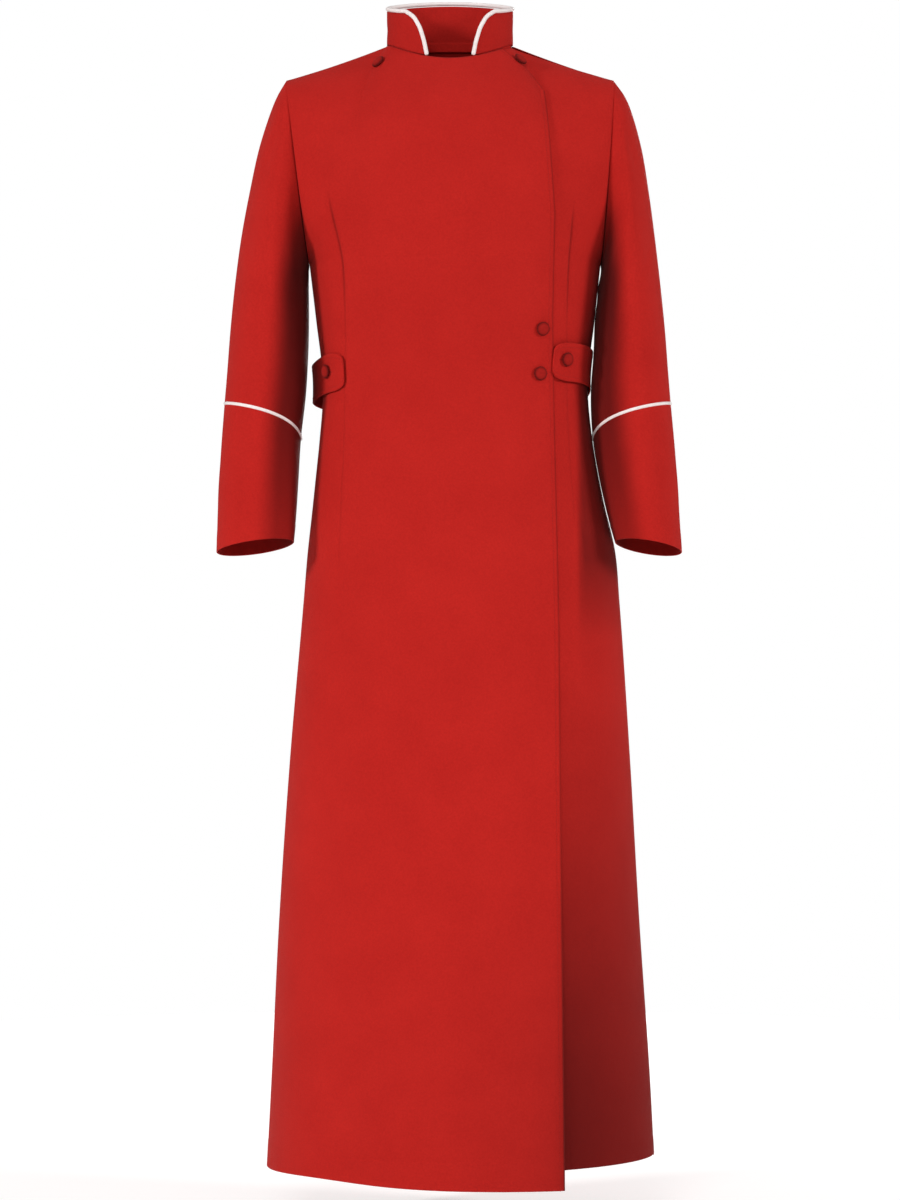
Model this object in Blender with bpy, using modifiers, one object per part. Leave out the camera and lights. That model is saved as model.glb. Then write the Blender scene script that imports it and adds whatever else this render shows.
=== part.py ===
"""A cassock with a crossed front, worn but empty.

Cloth walls stand where the worn garment stands, and the neck, hem, cuffs and
armholes are open. X runs to the wearer's left, Y to the back and Z up. The
origin lies in the middle of the neck opening, level with the tops of the
shoulder seams. Every size below is in millimetres, and the meshes are in metres.
"""

import math

import bmesh
import bpy
import numpy as np
from mathutils import Matrix, Vector

MM = 0.001
FRONT, BACK = -1, 1
RIGHT, LEFT = -1, 1

# Cloth and seams
CLOTH = 1.5
COLLAR_CLOTH = 2.0
BELT_CLOTH = 2.0
SEAM = 0.3
LAP_DEPTH = 3.0
LAP_REACH = 0.7
COLLAR_SEAM = 0.7
BUTTON_SEAM = 0.8

# Heights
UNDERARM = -285.0
HIP = -720.0
HEM = -1452.0

# The hems' heights, from the right side seam (-1) through the middle to the left one (1)
HEM_COLUMNS = ("across", "z")
OVERLAP_HEM_ROWS = ((-1, -1453), (-0.5, -1447), (-0.2, -1451), (0.1, -1455), (0.6, -1459))
UNDERLAP_HEM_ROWS = ((-0.5, -1440), (0.5, -1436), (1, -1437))
BACK_HEM_ROWS = ((-1, -1449), (0, -1445), (1, -1441))

# Neck, shoulder and armhole
NECK_HALF_WIDTH = 82.0
NECK_DEPTH = {FRONT: 62.0, BACK: 50.0}
NECK_CENTRE_Z = {FRONT: -24.0, BACK: 5.0}
SHOULDER_TIP = (213.0, 10.0, -44.0)
SHOULDER_CROWN = -1.5
ARMHOLE_DEPTH = 68.0
NECK_SHARE = 0.45

# The body's rings, from the hem up to the underarm
BODY_COLUMNS = ("z", "half_width", "shift", "front_depth", "back_depth", "fullness")
BODY_ROWS = (
    (-1460, 252, 14, 206, 200, 2.10),
    (-1344, 246, 14, 196, 190, 2.12),
    (-1136, 234, 12, 178, 176, 2.15),
    (-928, 221, 13, 160, 163, 2.20),
    (-720, 205, 15, 141, 149, 2.25),
    (-660, 200, 15, 133, 143, 2.28),
    (-590, 188, 11, 124, 136, 2.30),
    (-512, 177, 8, 113, 122, 2.30),
    (-441, 172, 7, 109, 112, 2.30),
    (-356, 181, 7, 119, 115, 2.30),
    (-285, 189, 6.5, 127, 119, 2.30),
)

# The middle line of front and back, from the underarm's height to the neck
CHEST_COLUMNS = ("share", "y", "z")
CHEST_ROWS = {
    FRONT: ((0, -127, -285), (0.35, -126, -192), (0.7, -104, -98), (1, -62, -24)),
    BACK: ((0, 119, -285), (0.35, 123, -188), (0.7, 108, -82), (1, 50, 5)),
}
SIDE_BULGE = {FRONT: -34.0, BACK: 44.0}

# The outer front's free edge: across from the middle, at each height
EDGE_COLUMNS = ("z", "x")
EDGE_ROWS = (
    (-1452, 141.5),
    (-1012, 139.5),
    (-756, 138.0),
    (-496, 133.4),
    (-360, 131.0),
    (-229, 133.4),
    (-115, 126.0),
    (-66, 121.0),
    (-38, 101.7),
    (-6, 65.0),
)

# Soft folds of the skirt: how deep they are at the hem, and how many
FOLDS_START = -560.0
FOLD_DEPTH = {FRONT: 2.5, BACK: 9.0}
FOLD_COUNT = {FRONT: 1.5, BACK: 2.5}
FOLD_PHASE = {FRONT: 1.0, BACK: 0.4}
HEM_STAND_OFF = 34.0
STAND_OFF_START = -980.0
EDGE_FLARE = 6.0
EDGE_FLARE_SPAN = (0.05, 0.5)
LAP_CLEAR_SPAN = (0.04, 0.97)

# The sleeves' rings, from below the armhole down to the cuff's hem
SLEEVE_COLUMNS = (
    "outer_z",
    "inner_z",
    "right_outer",
    "right_inner",
    "left_outer",
    "left_inner",
    "centre_y",
    "depth",
    "dip",
    "tilt",
)
SLEEVE_ROWS = (
    (-75, -290, 229, 183.4, 232, 196.6, 4, 73, 0.0, 0),
    (-130, -299, 247, 183.6, 248, 197.0, 2, 77, 0.0, 0),
    (-190, -313, 260, 183.6, 258, 194.8, 0, 80, 0.0, 0),
    (-250, -332, 271, 183.4, 266, 192.6, -1, 81, 0.0, 0),
    (-310, -358, 279, 183.2, 273, 189.9, -2, 80, 0.1, 0),
    (-370, -400, 285, 184.0, 279, 187.7, -4, 76, 0.3, 0),
    (-425, -455, 289, 187.0, 283, 182.8, -8, 70, 0.7, 0),
    (-466, -512, 292, 193.0, 286, 185.9, -14, 64, 1.0, 0),
    (-530, -560, 296, 195.5, 291, 193.9, -26, 60, 0.6, 3),
    (-600, -608, 299, 198.0, 295, 203.6, -38, 57, 0.3, 6),
    (-659, -645, 300, 201.0, 298, 212.5, -48, 54, 0.0, 8),
)
PIPING_ROW = 8
CUFF_HEM_ROW = 11
CUFF_DIP_POWER = 2.2

# The collar: its top edge and the angle at which its front edge lies
COLLAR_TOP_COLUMNS = ("angle", "z")
COLLAR_TOP_ROWS = ((-90, 48), (0, 63), (90, 48), (135, 38), (160, 36))
COLLAR_EDGE_COLUMNS = ("height", "angle")
COLLAR_EDGE_ROWS = ((0, 158.5), (0.38, 154.7), (0.7, 149.2), (0.9, 142.4), (1, 135))
COLLAR_HEIGHT = 45.0
COLLAR_PIPING_RADIUS = 2.7
CUFF_PIPING_RADIUS = 2.2

# The belt: where it runs, from the middle of the back outwards
BELT_COLUMNS = ("around", "z", "lift")
BELT_ROWS = (
    (-1.413, -427, 0.5),
    (-1.2, -430, 1.5),
    (-1.0, -440, 11.0),
    (-0.8, -446, 7.0),
    (-0.4, -450, 2.5),
    (0.4, -446, 2.5),
    (0.8, -434, 2.0),
    (1.0, -424, 1.5),
    (1.2, -418, 1.0),
    (1.525, -415, 0.5),
)
BELT_WIDTH = 48.0
BELT_TIP = 0.13
BELT_TIP_WIDTH = 0.6
BELT_SHARES = (-0.5, 0, 0.5)

# Buttons: a covered dome, and where each one sits
BUTTON_RADIUS = 9.0
BUTTON_HEIGHT = 4.6
BUTTON_COLUMNS = ("name", "x", "z", "on")
BUTTON_ROWS = (
    ("button_neck_right", -91.6, -27.0, "front"),
    ("button_neck_left", 90.1, -23.5, "front"),
    ("button_waist_upper", 117.7, -375.0, "front"),
    ("button_waist_lower", 114.4, -431.5, "front"),
    ("button_belt_right", -158.4, -426.0, "belt"),
    ("button_belt_left", 149.2, -412.5, "belt"),
)
BUTTON_PROFILE_COLUMNS = ("radius", "height")
BUTTON_PROFILE = (
    (0.0, 1.0),
    (0.35, 0.97),
    (0.68, 0.83),
    (0.93, 0.55),
    (1.0, 0.28),
    (0.9, 0.0),
    (0.0, 0.0),
)

# Mesh rows and columns
SKIRT_STEPS = 9
WAIST_STEPS = 11
YOKE_STEPS = 11
SHOULDER_STEPS = 7
LAP_STEPS = 12
BACK_NECK_STEPS = 10
SLEEVE_STEPS = 10
CUFF_STEPS = 4
COLLAR_STEPS = 26
COLLAR_ROWS = 4
BELT_STEPS = 46
BUTTON_STEPS = 12
PIPING_UP_STEPS = 8
PIPING_ROUND_STEPS = 32
PIPING_BEVEL = 2

# Small steps along the surfaces, to measure slopes and to find places
ACROSS_STEP = 0.004
LEVEL_STEP = 2.0
ROW_STEP = 0.05
ANGLE_STEP = 1.0
HEIGHT_STEP = 0.02
FRONT_STEPS = (0.01, 1.0)
BELT_FIND_STEPS = (0.01, 0.02)
FRONT_REACH = 220.0
HALVINGS = 30
FIND_ROUNDS = 12
SEAT_SAMPLES = 16
SHARP_ANGLE = 40.0

# Colours
RED = (0.52, 0.02, 0.015, 1.0)
WHITE = (0.85, 0.83, 0.80, 1.0)


def curve_through(rows, columns, x_name, y_name):
    """A smooth curve through two columns of a table, as a function."""
    xs = np.array([row[columns.index(x_name)] for row in rows], float)
    ys = np.array([row[columns.index(y_name)] for row in rows], float)
    slopes = np.gradient(ys, xs)

    def at(x):
        x = min(max(x, xs[0]), xs[-1])
        i = min(int(np.searchsorted(xs, x, side="right")) - 1, len(xs) - 2)
        step = xs[i + 1] - xs[i]
        t = (x - xs[i]) / step
        start = ys[i] * (1 + 2 * t) * (1 - t) ** 2 + slopes[i] * step * t * (1 - t) ** 2
        end = ys[i + 1] * t * t * (3 - 2 * t) + slopes[i + 1] * step * t * t * (t - 1)
        return float(start + end)

    return at


def unit(vector):
    return vector / max(np.linalg.norm(vector), 1e-9)


def smooth_step(x, low, high):
    """0 up to low, 1 from high on, and a soft rise between them."""
    t = min(max((x - low) / (high - low), 0.0), 1.0)
    return t * t * (3 - 2 * t)


BODY = {name: curve_through(BODY_ROWS, BODY_COLUMNS, "z", name) for name in BODY_COLUMNS[1:]}
CHEST = {
    side: {name: curve_through(rows, CHEST_COLUMNS, "share", name) for name in ("y", "z")}
    for side, rows in CHEST_ROWS.items()
}


def edge_x(z):
    """How far across the outer front's free edge lies at a height."""
    return float(np.interp(z, [row[0] for row in EDGE_ROWS], [row[1] for row in EDGE_ROWS]))


def skirt_fold(u, z, side):
    """How far a soft fold stands out of the skirt."""
    growth = min(max((FOLDS_START - z) / (FOLDS_START - HEM), 0.0), 1.0) ** 1.2
    wave = math.cos(2 * math.pi * FOLD_COUNT[side] * u + FOLD_PHASE[side])
    return FOLD_DEPTH[side] * growth * wave * (1 - u * u)


def ring(u, z, side):
    """A point of the body below the underarm. u runs from -1 at the right side seam to 1."""
    turn = abs(u) * math.pi / 2
    power = 2 / BODY["fullness"](z)
    depth = BODY["front_depth" if side == FRONT else "back_depth"](z)
    across = math.copysign(BODY["half_width"](z) * math.sin(turn) ** power, u)
    along = side * depth * max(math.cos(turn), 0.0) ** power
    grow = 1 + skirt_fold(u, z, side) / max(math.hypot(across, along), 1.0)
    return np.array((BODY["shift"](z) + across * grow, along * grow, z))


def armhole(angle, hand):
    """A point of the armhole: angle 0 at the shoulder tip, 90 in front, 180 at the underarm."""
    top = np.array((hand * SHOULDER_TIP[0], SHOULDER_TIP[1], SHOULDER_TIP[2]))
    bottom = ring(hand, UNDERARM, FRONT)
    turn = math.radians(angle)
    forward = np.array((0.0, -ARMHOLE_DEPTH, 0.0))
    return (top + bottom) / 2 + (top - bottom) / 2 * math.cos(turn) + forward * math.sin(turn)


def neckline(angle, side):
    """A point of the neck edge: angle 0 in the middle, 90 where the shoulder seam starts."""
    turn = math.radians(angle)
    return np.array(
        (
            NECK_HALF_WIDTH * math.sin(turn),
            side * NECK_DEPTH[side] * math.cos(turn),
            NECK_CENTRE_Z[side] * math.cos(turn) ** 2,
        )
    )


def top_edge(u, side):
    """The neck edge, and from there the shoulder seam."""
    hand = 1 if u >= 0 else -1
    if abs(u) < NECK_SHARE:
        point = neckline(90 * abs(u) / NECK_SHARE, side)
        return point * (hand, 1, 1)
    share = (abs(u) - NECK_SHARE) / (1 - NECK_SHARE)
    start = np.array((NECK_HALF_WIDTH, 0.0, 0.0))
    point = start + (np.array(SHOULDER_TIP) - start) * share
    point[2] += SHOULDER_CROWN * 4 * share * (1 - share)
    return point * (hand, 1, 1)


def yoke(u, share, side):
    """A point of the body between the underarm (share 0) and the top edge (share 1)."""
    hand = 1 if u >= 0 else -1
    turn = abs(u) * math.pi / 2
    power = 2 / BODY["fullness"](UNDERARM)

    def plain(share_here):
        centre_y = CHEST[side]["y"](share_here)
        centre_z = CHEST[side]["z"](share_here)
        start = ring(hand, UNDERARM, side)
        end = np.array(SHOULDER_TIP) * (hand, 1, 1)
        side_point = start + (end - start) * share_here
        side_point[1] += SIDE_BULGE[side] * math.sin(math.pi * share_here)
        shift = BODY["shift"](UNDERARM) * (1 - share_here)
        across = math.sin(turn) ** power
        along = max(math.cos(turn), 0.0) ** power
        point = np.array(
            (
                shift + (side_point[0] - shift) * across,
                side_point[1] + (centre_y - side_point[1]) * along,
                centre_z + (side_point[2] - centre_z) * u * u,
            )
        )
        return point, side_point

    point, side_point = plain(share)
    angle = 180 * (1 - share)
    seam = armhole(angle if side == FRONT else -angle, hand)
    pull = abs(u) ** (5 - 3 * share)
    top_plain, _ = plain(1.0)
    return point + pull * (seam - side_point) + share**3 * (top_edge(u, side) - top_plain)


def body(u, level, side):
    """A point of the body. level is a height, up to 0 at the top edge."""
    if level <= UNDERARM:
        return ring(u, level, side)
    return yoke(u, 1 - level / UNDERARM, side)


def body_normal(u, level, side):
    """The outward direction there, shared by front and back along the shoulder seam."""
    right, left = max(u - ACROSS_STEP, -1), min(u + ACROSS_STEP, 1)
    across = body(left, level, side) - body(right, level, side)
    up = body(u, min(level + LEVEL_STEP, 0), side) - body(u, level - LEVEL_STEP, side)
    return unit(np.cross(across, up)) * -side


def shared_normal(u, level, side):
    """body_normal, with the mean of front and back on the shoulder seam."""
    if level >= 0 and abs(u) >= NECK_SHARE:
        return unit(body_normal(u, level, FRONT) + body_normal(u, level, BACK))
    return body_normal(u, level, side)


def edge_share(level):
    """Where the outer front's free edge crosses a level."""
    low, high = 0.0, 1.0
    for _ in range(HALVINGS):
        middle = (low + high) / 2
        x, _, z = body(middle, level, FRONT)
        if x < edge_x(z):
            low = middle
        else:
            high = middle
    return low


def overlap_lift(u, level):
    """The outer front's free edge flares a little towards the hem."""
    fall = smooth_step(-level, -STAND_OFF_START, -HEM)
    return EDGE_FLARE * fall * smooth_step(u, *EDGE_FLARE_SPAN)


def underlap_lift(u, level):
    """The inner front lies behind the outer one, and further back towards the hem."""
    fall = smooth_step(-level, -STAND_OFF_START, -HEM)
    start, end = LAP_CLEAR_SPAN
    clear = 1 - smooth_step(u, edge_share(level) + start, end)
    return -(LAP_DEPTH + HEM_STAND_OFF * fall) * clear


def body_levels():
    """The heights of a panel's rows, from the hem to the top edge."""
    skirt = np.linspace(HEM, HIP, SKIRT_STEPS + 1)[:-1]
    waist = np.linspace(HIP, UNDERARM, WAIST_STEPS + 1)[:-1]
    chest = np.linspace(UNDERARM, 0, YOKE_STEPS + 1)
    return [float(level) for level in (*skirt, *waist, *chest)]


def spans(*stops):
    """Columns between stops, given as start, steps, stop, steps, stop and so on."""
    found = [stops[0]]
    for steps, stop in zip(stops[1::2], stops[2::2]):
        found += list(np.linspace(found[-1], stop, int(steps) + 1))[1:]
    return [float(u) for u in found]


def move_edge(grids, edge, amount, closed=False):
    """Draws one edge of a wall's two skins back by an amount, towards the next row."""
    for grid in grids:
        rows = grid if edge in ("top", "bottom") else grid.transpose(1, 0, 2)
        line, beside = (rows[-1], rows[-2]) if edge in ("top", "last") else (rows[0], rows[1])
        if closed:
            along = np.roll(line, -1, axis=0) - np.roll(line, 1, axis=0)
        else:
            along = np.gradient(line, axis=0)
        ways = np.array([unit(v) for v in beside - line])
        slants = [np.linalg.norm(np.cross(unit(t), way)) for t, way in zip(along, ways)]
        line += ways * amount / np.array(slants)[:, None]


def wall(name, outer, inner, closed, colour):
    """A closed solid between an outer and an inner grid of points."""
    rows, columns = outer.shape[:2]
    mesh = bpy.data.meshes.new(name)
    build = bmesh.new()
    skins = [
        [[build.verts.new(Vector(point * MM)) for point in row] for row in grid]
        for grid in (outer, inner)
    ]
    last = columns if closed else columns - 1
    for skin, flip in zip(skins, (False, True)):
        for r in range(rows - 1):
            for c in range(last):
                d = (c + 1) % columns
                face = [skin[r][c], skin[r][d], skin[r + 1][d], skin[r + 1][c]]
                build.faces.new(face[::-1] if flip else face)
    for r in (0, rows - 1):
        for c in range(last):
            d = (c + 1) % columns
            build.faces.new([skins[0][r][c], skins[0][r][d], skins[1][r][d], skins[1][r][c]])
    if not closed:
        for c in (0, columns - 1):
            for r in range(rows - 1):
                rim = [skins[0][r][c], skins[0][r + 1][c], skins[1][r + 1][c], skins[1][r][c]]
                build.faces.new(rim)
    bmesh.ops.recalc_face_normals(build, faces=build.faces)
    build.to_mesh(mesh)
    build.free()
    finish_object(bpy.data.objects.new(name, mesh), colour)


def finish_object(item, colour):
    """Gives an object its own material and puts it in the garment's collection."""
    material = bpy.data.materials.new(item.name)
    material.use_nodes = True
    shader = material.node_tree.nodes["Principled BSDF"]
    shader.inputs["Base Color"].default_value = colour
    shader.inputs["Roughness"].default_value = 0.85
    shader.inputs["Metallic"].default_value = 0.0
    item.data.materials.append(material)
    if item.type == "MESH":
        item.data.shade_smooth()
        item.data.set_sharp_from_angle(angle=math.radians(SHARP_ANGLE))
    bpy.data.collections["cassock"].objects.link(item)
    return item


def panel(name, side, hem_rows, columns_at, lift_at, edges):
    """One cut panel of the body, with its seam edges drawn back for the seams."""
    hem_at = curve_through(hem_rows, HEM_COLUMNS, "across", "z")
    outer, inner = [], []
    for row_level in body_levels():
        points, normals, lifts = [], [], []
        fall = max((HIP - row_level) / (HIP - HEM), 0.0)
        for u in columns_at(row_level):
            level = row_level + (hem_at(u) - HEM) * fall
            points.append(body(u, level, side))
            normals.append(shared_normal(u, level, side))
            lifts.append(lift_at(u, level))
        points, normals, lifts = np.array(points), np.array(normals), np.array(lifts)[:, None]
        outer.append(points + normals * lifts)
        inner.append(points + normals * (lifts - CLOTH))
    grids = (np.array(outer), np.array(inner))
    for edge in edges:
        move_edge(grids, edge, SEAM / 2)
    wall(name, *grids, closed=False, colour=RED)


def make_body():
    """The two crossed fronts and the back."""

    def overlap_columns(level):
        return spans(-1, SHOULDER_STEPS, -NECK_SHARE, LAP_STEPS, edge_share(level))

    def underlap_columns(level):
        hidden = -LAP_REACH * edge_share(level)
        return spans(hidden, LAP_STEPS, NECK_SHARE, SHOULDER_STEPS, 1)

    def back_columns(_):
        neck = NECK_SHARE
        return spans(-1, SHOULDER_STEPS, -neck, BACK_NECK_STEPS, neck, SHOULDER_STEPS, 1)

    def no_lift(_, __):
        return 0.0

    panel("front_overlap", FRONT, OVERLAP_HEM_ROWS, overlap_columns, overlap_lift, ("top", "first"))
    panel("front_underlap", FRONT, UNDERLAP_HEM_ROWS, underlap_columns, underlap_lift, ("top", "last"))
    panel("back", BACK, BACK_HEM_ROWS, back_columns, no_lift, ("top", "first", "last"))


def sleeve_shape(hand):
    """A sleeve's columns as smooth curves over its rows, row 0 being the armhole."""
    name = "right" if hand == RIGHT else "left"
    tip, pit = armhole(0, hand), armhole(180, hand)
    centre_y = (tip[1] + pit[1]) / 2
    rows = [(0, tip[2], pit[2], abs(tip[0]), abs(pit[0]), centre_y, ARMHOLE_DEPTH, 0, 0)]
    for number, row in enumerate(SLEEVE_ROWS, 1):
        value = dict(zip(SLEEVE_COLUMNS, row))
        across = (value[name + "_outer"], value[name + "_inner"])
        rest = [value[key] for key in ("centre_y", "depth", "dip", "tilt")]
        rows.append((number, value["outer_z"], value["inner_z"], *across, *rest))
    columns = ("row", "outer_z", "inner_z", "outer", "inner", "centre_y", "depth", "dip", "tilt")
    shape = {key: curve_through(rows, columns, "row", key) for key in columns[1:]}

    def at(row, angle):
        """A point of the sleeve's outer skin: angle 0 outside, 90 in front, 180 inside."""
        turn = math.radians(angle)
        value = {key: curve(row) for key, curve in shape.items()}
        folded = abs((angle + 180) % 360 - 180) / 180
        level = (1 - math.cos(turn)) / 2
        level += (folded**CUFF_DIP_POWER - level) * value["dip"]
        lean = SHOULDER_TIP[1] / 2 * max(1 - row, 0)
        across = (value["outer"] + value["inner"]) / 2
        across += math.cos(turn) * (value["outer"] - value["inner"]) / 2
        along = value["centre_y"] + lean * math.cos(turn) - value["depth"] * math.sin(turn)
        z = value["outer_z"] + (value["inner_z"] - value["outer_z"]) * level
        return np.array((hand * across, along, z + value["tilt"] * math.sin(turn)))

    return at


def off_body(at, hand):
    """The direction square to the armhole's plane, away from the body."""
    way = unit(np.cross(at(0, 0) - at(0, 180), at(0, 90) - at(0, 270)))
    return way * math.copysign(1, hand * way[0])


def sleeve_normal(at, row, angle, hand):
    """The outward direction of a sleeve. At the armhole it lies in the armhole's plane."""
    around = at(row, angle + ANGLE_STEP) - at(row, angle - ANGLE_STEP)
    if row == 0:
        along = off_body(at, hand)
    else:
        along = at(min(row + ROW_STEP, CUFF_HEM_ROW), angle) - at(row - ROW_STEP, angle)
    normal = unit(np.cross(around, along))
    centre = (at(row, 0) + at(row, 180)) / 2
    return normal * math.copysign(1, float(np.dot(normal, at(row, angle) - centre)))


def make_sleeve(hand):
    """A sleeve, its cuff and the piping between them."""
    name = "right" if hand == RIGHT else "left"
    at = sleeve_shape(hand)
    angles = np.linspace(0, 360, 2 * YOKE_STEPS + 1)[:-1]

    def skins(rows, thickness=CLOTH):
        outer = np.array([[at(row, a) for a in angles] for row in rows])
        normals = np.array([[sleeve_normal(at, row, a, hand) for a in angles] for row in rows])
        return outer, outer - thickness * normals

    seam = CUFF_PIPING_RADIUS + SEAM
    grids = skins(np.linspace(0, PIPING_ROW, SLEEVE_STEPS + 1))
    for grid in grids:
        grid[0] += SEAM * off_body(at, hand)
    move_edge(grids, "top", seam, closed=True)
    wall("sleeve_" + name, *grids, closed=True, colour=RED)

    grids = skins(np.linspace(PIPING_ROW, CUFF_HEM_ROW, CUFF_STEPS + 1))
    move_edge(grids, "bottom", seam, closed=True)
    wall("cuff_" + name, *grids, closed=True, colour=RED)

    _, middle = skins([PIPING_ROW], CLOTH / 2)
    tube("cuff_piping_" + name, middle[0], CUFF_PIPING_RADIUS, closed=True)


def tube(name, points, radius, closed):
    """A round cord along a list of points."""
    curve = bpy.data.curves.new(name, "CURVE")
    curve.dimensions = "3D"
    curve.bevel_depth = radius * MM
    curve.bevel_resolution = PIPING_BEVEL
    curve.use_fill_caps = not closed
    spline = curve.splines.new("POLY")
    spline.points.add(len(points) - 1)
    for place, point in zip(spline.points, points):
        place.co = (*(point * MM), 1)
    spline.use_cyclic_u = closed
    finish_object(bpy.data.objects.new(name, curve), WHITE)


def make_collar():
    """The stand collar and the piping on its free edges."""
    top_at = curve_through(COLLAR_TOP_ROWS, COLLAR_TOP_COLUMNS, "angle", "z")
    edge_at = curve_through(COLLAR_EDGE_ROWS, COLLAR_EDGE_COLUMNS, "height", "angle")

    def at(share, height, trim=0.0):
        """A point of the collar: share -1 to 1 round it, height 0 to 1 up it."""
        height *= 1 - trim / COLLAR_HEIGHT
        rise = edge_at(height + HEIGHT_STEP) - edge_at(height - HEIGHT_STEP)
        slope = math.radians(rise) * NECK_HALF_WIDTH / (2 * HEIGHT_STEP * COLLAR_HEIGHT)
        cut = math.degrees(trim * math.hypot(1, slope) / NECK_HALF_WIDTH)
        angle = share * (edge_at(height) - cut)
        side = BACK if abs(angle) < 90 else FRONT
        base = neckline(abs(angle) if side == BACK else 180 - abs(angle), side)
        base[0] = math.copysign(base[0], angle)
        base[2] += COLLAR_SEAM
        top = top_at(abs(angle))
        return np.array((base[0], base[1], base[2] + (top - base[2]) * height))

    def normal(point):
        depth = NECK_DEPTH[BACK if point[1] > 0 else FRONT]
        return unit(np.array((point[0] / NECK_HALF_WIDTH**2, point[1] / depth**2, 0.0)))

    trim = COLLAR_PIPING_RADIUS + 2 * SEAM
    shares = np.linspace(-1, 1, COLLAR_STEPS + 1)
    heights = np.linspace(0, 1, COLLAR_ROWS + 1)
    outer = np.array([[at(s, h, trim) for s in shares] for h in heights])
    inner = np.array([[p - COLLAR_CLOTH * normal(p) for p in row] for row in outer])
    wall("collar", outer, inner, closed=False, colour=RED)

    low = COLLAR_PIPING_RADIUS / 2 / COLLAR_HEIGHT
    heights = np.linspace(low, 1, PIPING_UP_STEPS + 1)[:-1]
    shares = np.linspace(-1, 1, PIPING_ROUND_STEPS + 1)
    path = [*((-1, h) for h in heights), *((s, 1) for s in shares), *((1, h) for h in heights[::-1])]
    edge = [at(s, h) for s, h in path]
    middle = [p - COLLAR_CLOTH / 2 * normal(p) for p in edge]
    tube("collar_piping", middle, COLLAR_PIPING_RADIUS, closed=False)


def around_body(around, level):
    """A point and its outward direction, 0 in the middle of the back, 1 at the left side seam."""
    if abs(around) <= 1:
        return body(around, level, BACK), body_normal(around, level, BACK)
    u = math.copysign(2 - abs(around), around)
    return body(u, level, FRONT), body_normal(u, level, FRONT)


BELT_Z = curve_through(BELT_ROWS, BELT_COLUMNS, "around", "z")
BELT_LIFT = curve_through(BELT_ROWS, BELT_COLUMNS, "around", "lift")


def belt_place(around, share):
    """A point of the belt's inner skin and its outward direction. share runs from -0.5 to 0.5."""
    first, last = BELT_ROWS[0][0], BELT_ROWS[-1][0]
    inset = min(around - first, last - around) / BELT_TIP
    narrow = math.sqrt(1 - (1 - min(max(inset, 0), 1)) ** 2)
    width = BELT_WIDTH * (BELT_TIP_WIDTH + (1 - BELT_TIP_WIDTH) * narrow)
    point, normal = around_body(float(around), BELT_Z(around) + share * width)
    return point + normal * (SEAM + BELT_LIFT(around)), normal


def belt_outside(around, share):
    """A point of the belt's outer skin."""
    point, normal = belt_place(around, share)
    return point + normal * BELT_CLOTH


def make_belt():
    """The belt, in one length, with narrowed ends."""
    outer, inner = [], []
    for around in np.linspace(BELT_ROWS[0][0], BELT_ROWS[-1][0], BELT_STEPS + 1):
        inner.append([belt_place(around, share)[0] for share in BELT_SHARES])
        outer.append([belt_outside(around, share) for share in BELT_SHARES])
    wall("belt", np.array(outer), np.array(inner), closed=False, colour=RED)


def find_place(surface, x, z, start, steps):
    """The two values for which a surface's point has this x and z."""
    place = np.array(start, float)
    for _ in range(FIND_ROUNDS):
        here = surface(*place)
        slopes = [(surface(*(place + step)) - here) / sum(step) for step in np.diag(steps)]
        matrix = np.array([[s[0] for s in slopes], [s[2] for s in slopes]])
        place = place + np.linalg.solve(matrix, (x - here[0], z - here[2]))
    return place


def seat(surface, x, z, start, steps):
    """Where a flat-backed button of its radius rests on a surface, and which way it faces."""
    a, b = find_place(surface, x, z, start, steps)
    da, db = steps
    middle = surface(a, b)
    across = surface(a + da, b) - surface(a - da, b)
    up = surface(a, b + db) - surface(a, b - db)
    normal = unit(np.cross(across, up))
    normal = normal * math.copysign(1, -normal[1])
    high = 0.0
    for turn in np.linspace(0, 2 * math.pi, SEAT_SAMPLES, endpoint=False):
        reach = BUTTON_RADIUS * unit(unit(across) * math.cos(turn) + unit(up) * math.sin(turn))
        edge = find_place(surface, middle[0] + reach[0], middle[2] + reach[2], (a, b), steps)
        high = max(high, float(np.dot(surface(*edge) - middle, normal)))
    return middle + normal * (BUTTON_SEAM + high), normal


def front_outside(u, level):
    """A point of the outer front's face."""
    level = min(level, 0.0)
    return body(u, level, FRONT) + body_normal(u, level, FRONT) * overlap_lift(u, level)


def make_buttons():
    """Covered buttons, each a turned dome with a flat back."""
    for name, x, z, on in BUTTON_ROWS:
        if on == "belt":
            start = (math.copysign(2, x) - x / FRONT_REACH, 0)
            place, normal = seat(belt_outside, x, z, start, BELT_FIND_STEPS)
        else:
            start = (x / FRONT_REACH, min(z, SHOULDER_TIP[2]))
            place, normal = seat(front_outside, x, z, start, FRONT_STEPS)
        mesh = bpy.data.meshes.new(name)
        dome = [(r * BUTTON_RADIUS * MM, 0, h * BUTTON_HEIGHT * MM) for r, h in BUTTON_PROFILE]
        mesh.from_pydata(dome, [(i, i + 1) for i in range(len(dome) - 1)], [])
        item = finish_object(bpy.data.objects.new(name, mesh), RED)
        turn = item.modifiers.new("turn", "SCREW")
        turn.steps = turn.render_steps = BUTTON_STEPS
        turn.use_merge_vertices = True
        turn.merge_threshold = 0.00001
        frame = Vector(normal).to_track_quat("Z", "Y").to_matrix().to_4x4()
        item.matrix_world = Matrix.Translation(Vector(place * MM)) @ frame


def main():
    for item in list(bpy.data.objects):
        bpy.data.objects.remove(item)
    garment = bpy.data.collections.new("cassock")
    bpy.context.scene.collection.children.link(garment)
    make_body()
    make_sleeve(RIGHT)
    make_sleeve(LEFT)
    make_collar()
    make_belt()
    make_buttons()


main()
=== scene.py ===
import math

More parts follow.
